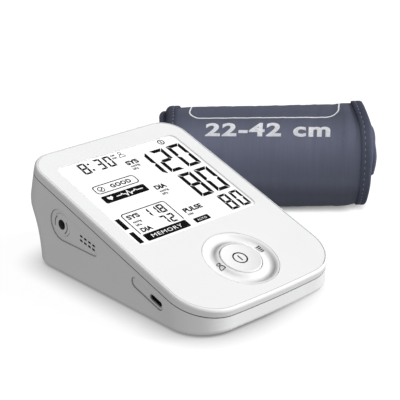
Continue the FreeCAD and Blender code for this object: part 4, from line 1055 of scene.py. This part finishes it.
# printed panel line over the top of the roll, and the plain arm-size mark below it
art = Flat()
x0, x1, y0, y1, rad = 15.4, 105.4, arc_at(66.2), arc_at(152.0), 8.0
path = []
for cx, cy, a0 in ((x1 - rad, y1 - rad, 0), (x0 + rad, y1 - rad, 90), (x0 + rad, y0 + rad, 180), (x1 - rad, y0 + rad, 270)):
    for k in range(13):
        t = math.radians(a0 + 7.5 * k)
        path.append((cx + rad * math.cos(t), cy + rad * math.sin(t)))
art.strip(path, 0.85, closed=True)
art.text("22-42 cm", 63.8, arc_at(49.1), 9.0, 74.4, 0.035, 1.12)
print_mat = ink("cuff_print_white", (0.86, 0.87, 0.92), 0.55)
o = art.lay("cuff_print", place_cuff(0.05), print_mat, 1.2, 1.2)
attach(o, "cuff")

# ------------------------------------------------------------------ floor, light and camera
bm = bmesh.new()
bmesh.ops.create_grid(bm, x_segments=2, y_segments=2, size=6.0)
me = bpy.data.meshes.new("floor")
bm.to_mesh(me)
bm.free()
floor = bpy.data.objects.new("floor", me)
scene.collection.objects.link(floor)
m, nt, b = new_mat("floor_pale")
v = coords(nt)
nt.links.new(ramp(nt, noise(nt, v, 1.5, 2.0), (0.14, 0.14, 0.14), (0.16, 0.16, 0.16)), b.inputs["Base Color"])


def painted_contact_shadow(distance, lo, hi, f0, f1):
    near = nt.nodes.new("ShaderNodeAmbientOcclusion")
    near.samples = 24
    near.inputs["Distance"].default_value = distance
    return span(nt, near.outputs["AO"], lo, hi, f0, f1)


# painted shadow: ambient occlusion sets the floor's glow, a broad soft shade round the monitor and a thin one under the
# roll
sep = nt.nodes.new("ShaderNodeSeparateXYZ")
nt.links.new(v, sep.inputs["Vector"])
roll_at = float(-(world(AXA) @ E1))
away = math_node(nt, "ADD", math_node(nt, "MULTIPLY", sep.outputs["X"], float(-E1[0])), math_node(nt, "MULTIPLY", sep.outputs["Y"], float(-E1[1])))
zone = nt.nodes.new("ShaderNodeMix")
nt.links.new(span(nt, away, 0.0, 1.0, roll_at - 0.070, roll_at - 0.050), zone.inputs["Factor"])
nt.links.new(painted_contact_shadow(0.018, 0.20, 0.92, 0.15, 0.98), zone.inputs["A"])
nt.links.new(math_node(nt, "POWER", painted_contact_shadow(0.0042, 0.0, 0.95, 0.0, 0.98), 0.60), zone.inputs["B"])
# the painted shadow dies away on the side the light comes from
lit_at = world([0.0, 0.0, 0.0]) @ np.array([0.7257, -0.688, 0.0])
lit = math_node(nt, "ADD", math_node(nt, "MULTIPLY", sep.outputs["X"], 0.7257), math_node(nt, "MULTIPLY", sep.outputs["Y"], -0.688))
fade = nt.nodes.new("ShaderNodeMix")
nt.links.new(math_node(nt, "MULTIPLY", span(nt, lit, 0.0, 0.92, float(lit_at) - 0.006, float(lit_at) + 0.034), span(nt, away, 1.0, 0.0, roll_at - 0.070, roll_at - 0.050)),
             fade.inputs["Factor"])
nt.links.new(zone.outputs["Result"], fade.inputs["A"])
fade.inputs["B"].default_value = 0.92
nt.links.new(fade.outputs["Result"], b.inputs["Emission Strength"])
b.inputs["Emission Color"].default_value = (1, 1, 1, 1)
b.inputs["Roughness"].default_value = 0.9
b.inputs["Specular IOR Level"].default_value = 0.0
me.materials.append(m)
floor.visible_diffuse = False
floor.visible_glossy = False
floor.visible_shadow = False

# pale backdrop far behind the floor, all the way round
bm = bmesh.new()
bmesh.ops.create_cone(bm, cap_ends=False, segments=96, radius1=5.8, radius2=5.8, depth=8.0)
bmesh.ops.translate(bm, verts=bm.verts, vec=(0.0, 0.0, 3.9))
me = bpy.data.meshes.new("backdrop")
bm.to_mesh(me)
bm.free()
backdrop = bpy.data.objects.new("backdrop", me)
scene.collection.objects.link(backdrop)
m, nt, b = new_mat("backdrop_pale")
v = coords(nt)
nt.links.new(ramp(nt, noise(nt, v, 0.4, 2.0), (0.93, 0.93, 0.93), (0.96, 0.96, 0.96)), b.inputs["Emission Color"])
b.inputs["Base Color"].default_value = (0.0, 0.0, 0.0, 1)
b.inputs["Emission Strength"].default_value = 1.0
b.inputs["Roughness"].default_value = 1.0
b.inputs["Specular IOR Level"].default_value = 0.0
me.materials.append(m)
backdrop.visible_diffuse = False
backdrop.visible_glossy = False
backdrop.visible_transmission = False
backdrop.visible_shadow = False

wd = bpy.data.worlds.new("studio")
scene.world = wd
wd.use_nodes = True
bg = wd.node_tree.nodes["Background"]
bg.inputs["Strength"].default_value = 1.0
wt = wd.node_tree
# soft room light, strongest from high in front and weakest from behind
facing = wt.nodes.new("ShaderNodeVectorMath")
facing.operation = "DOT_PRODUCT"
wt.links.new(wt.nodes.new("ShaderNodeTexCoord").outputs["Generated"], facing.inputs[0])
facing.inputs[1].default_value = (0.0, -0.85, 0.53)
wt.links.new(math_node(wt, "ADD", math_node(wt, "MULTIPLY", facing.outputs["Value"], 0.19), 0.418), bg.inputs["Color"])


def sun(name, towards, strength, angle, color=(1, 1, 1)):
    l = bpy.data.lights.new(name, "SUN")
    l.energy = strength
    l.angle = math.radians(angle)
    l.color = color
    o = bpy.data.objects.new(name, l)
    o.rotation_euler = Vector(towards).to_track_quat("-Z", "Y").to_euler()
    scene.collection.objects.link(o)
    return o


sun("key", (-0.644, 0.526, -0.556), 2.72, 24)

cam_data = bpy.data.cameras.new("camera")
cam_data.sensor_width = 36.0
cam_data.sensor_fit = "HORIZONTAL"
cam_data.lens = 113.91
cam_data.clip_start = 0.01
cam_data.clip_end = 50.0
cam = bpy.data.objects.new("camera", cam_data)
scene.collection.objects.link(cam)
cam.location = tuple(world([-425.0, -391.2, 293.0]))
cam.rotation_euler = Vector((0.6390, 0.6740, -0.3707)).to_track_quat("-Z", "Y").to_euler()
scene.camera = cam
scene.view_settings.view_transform = "Standard"
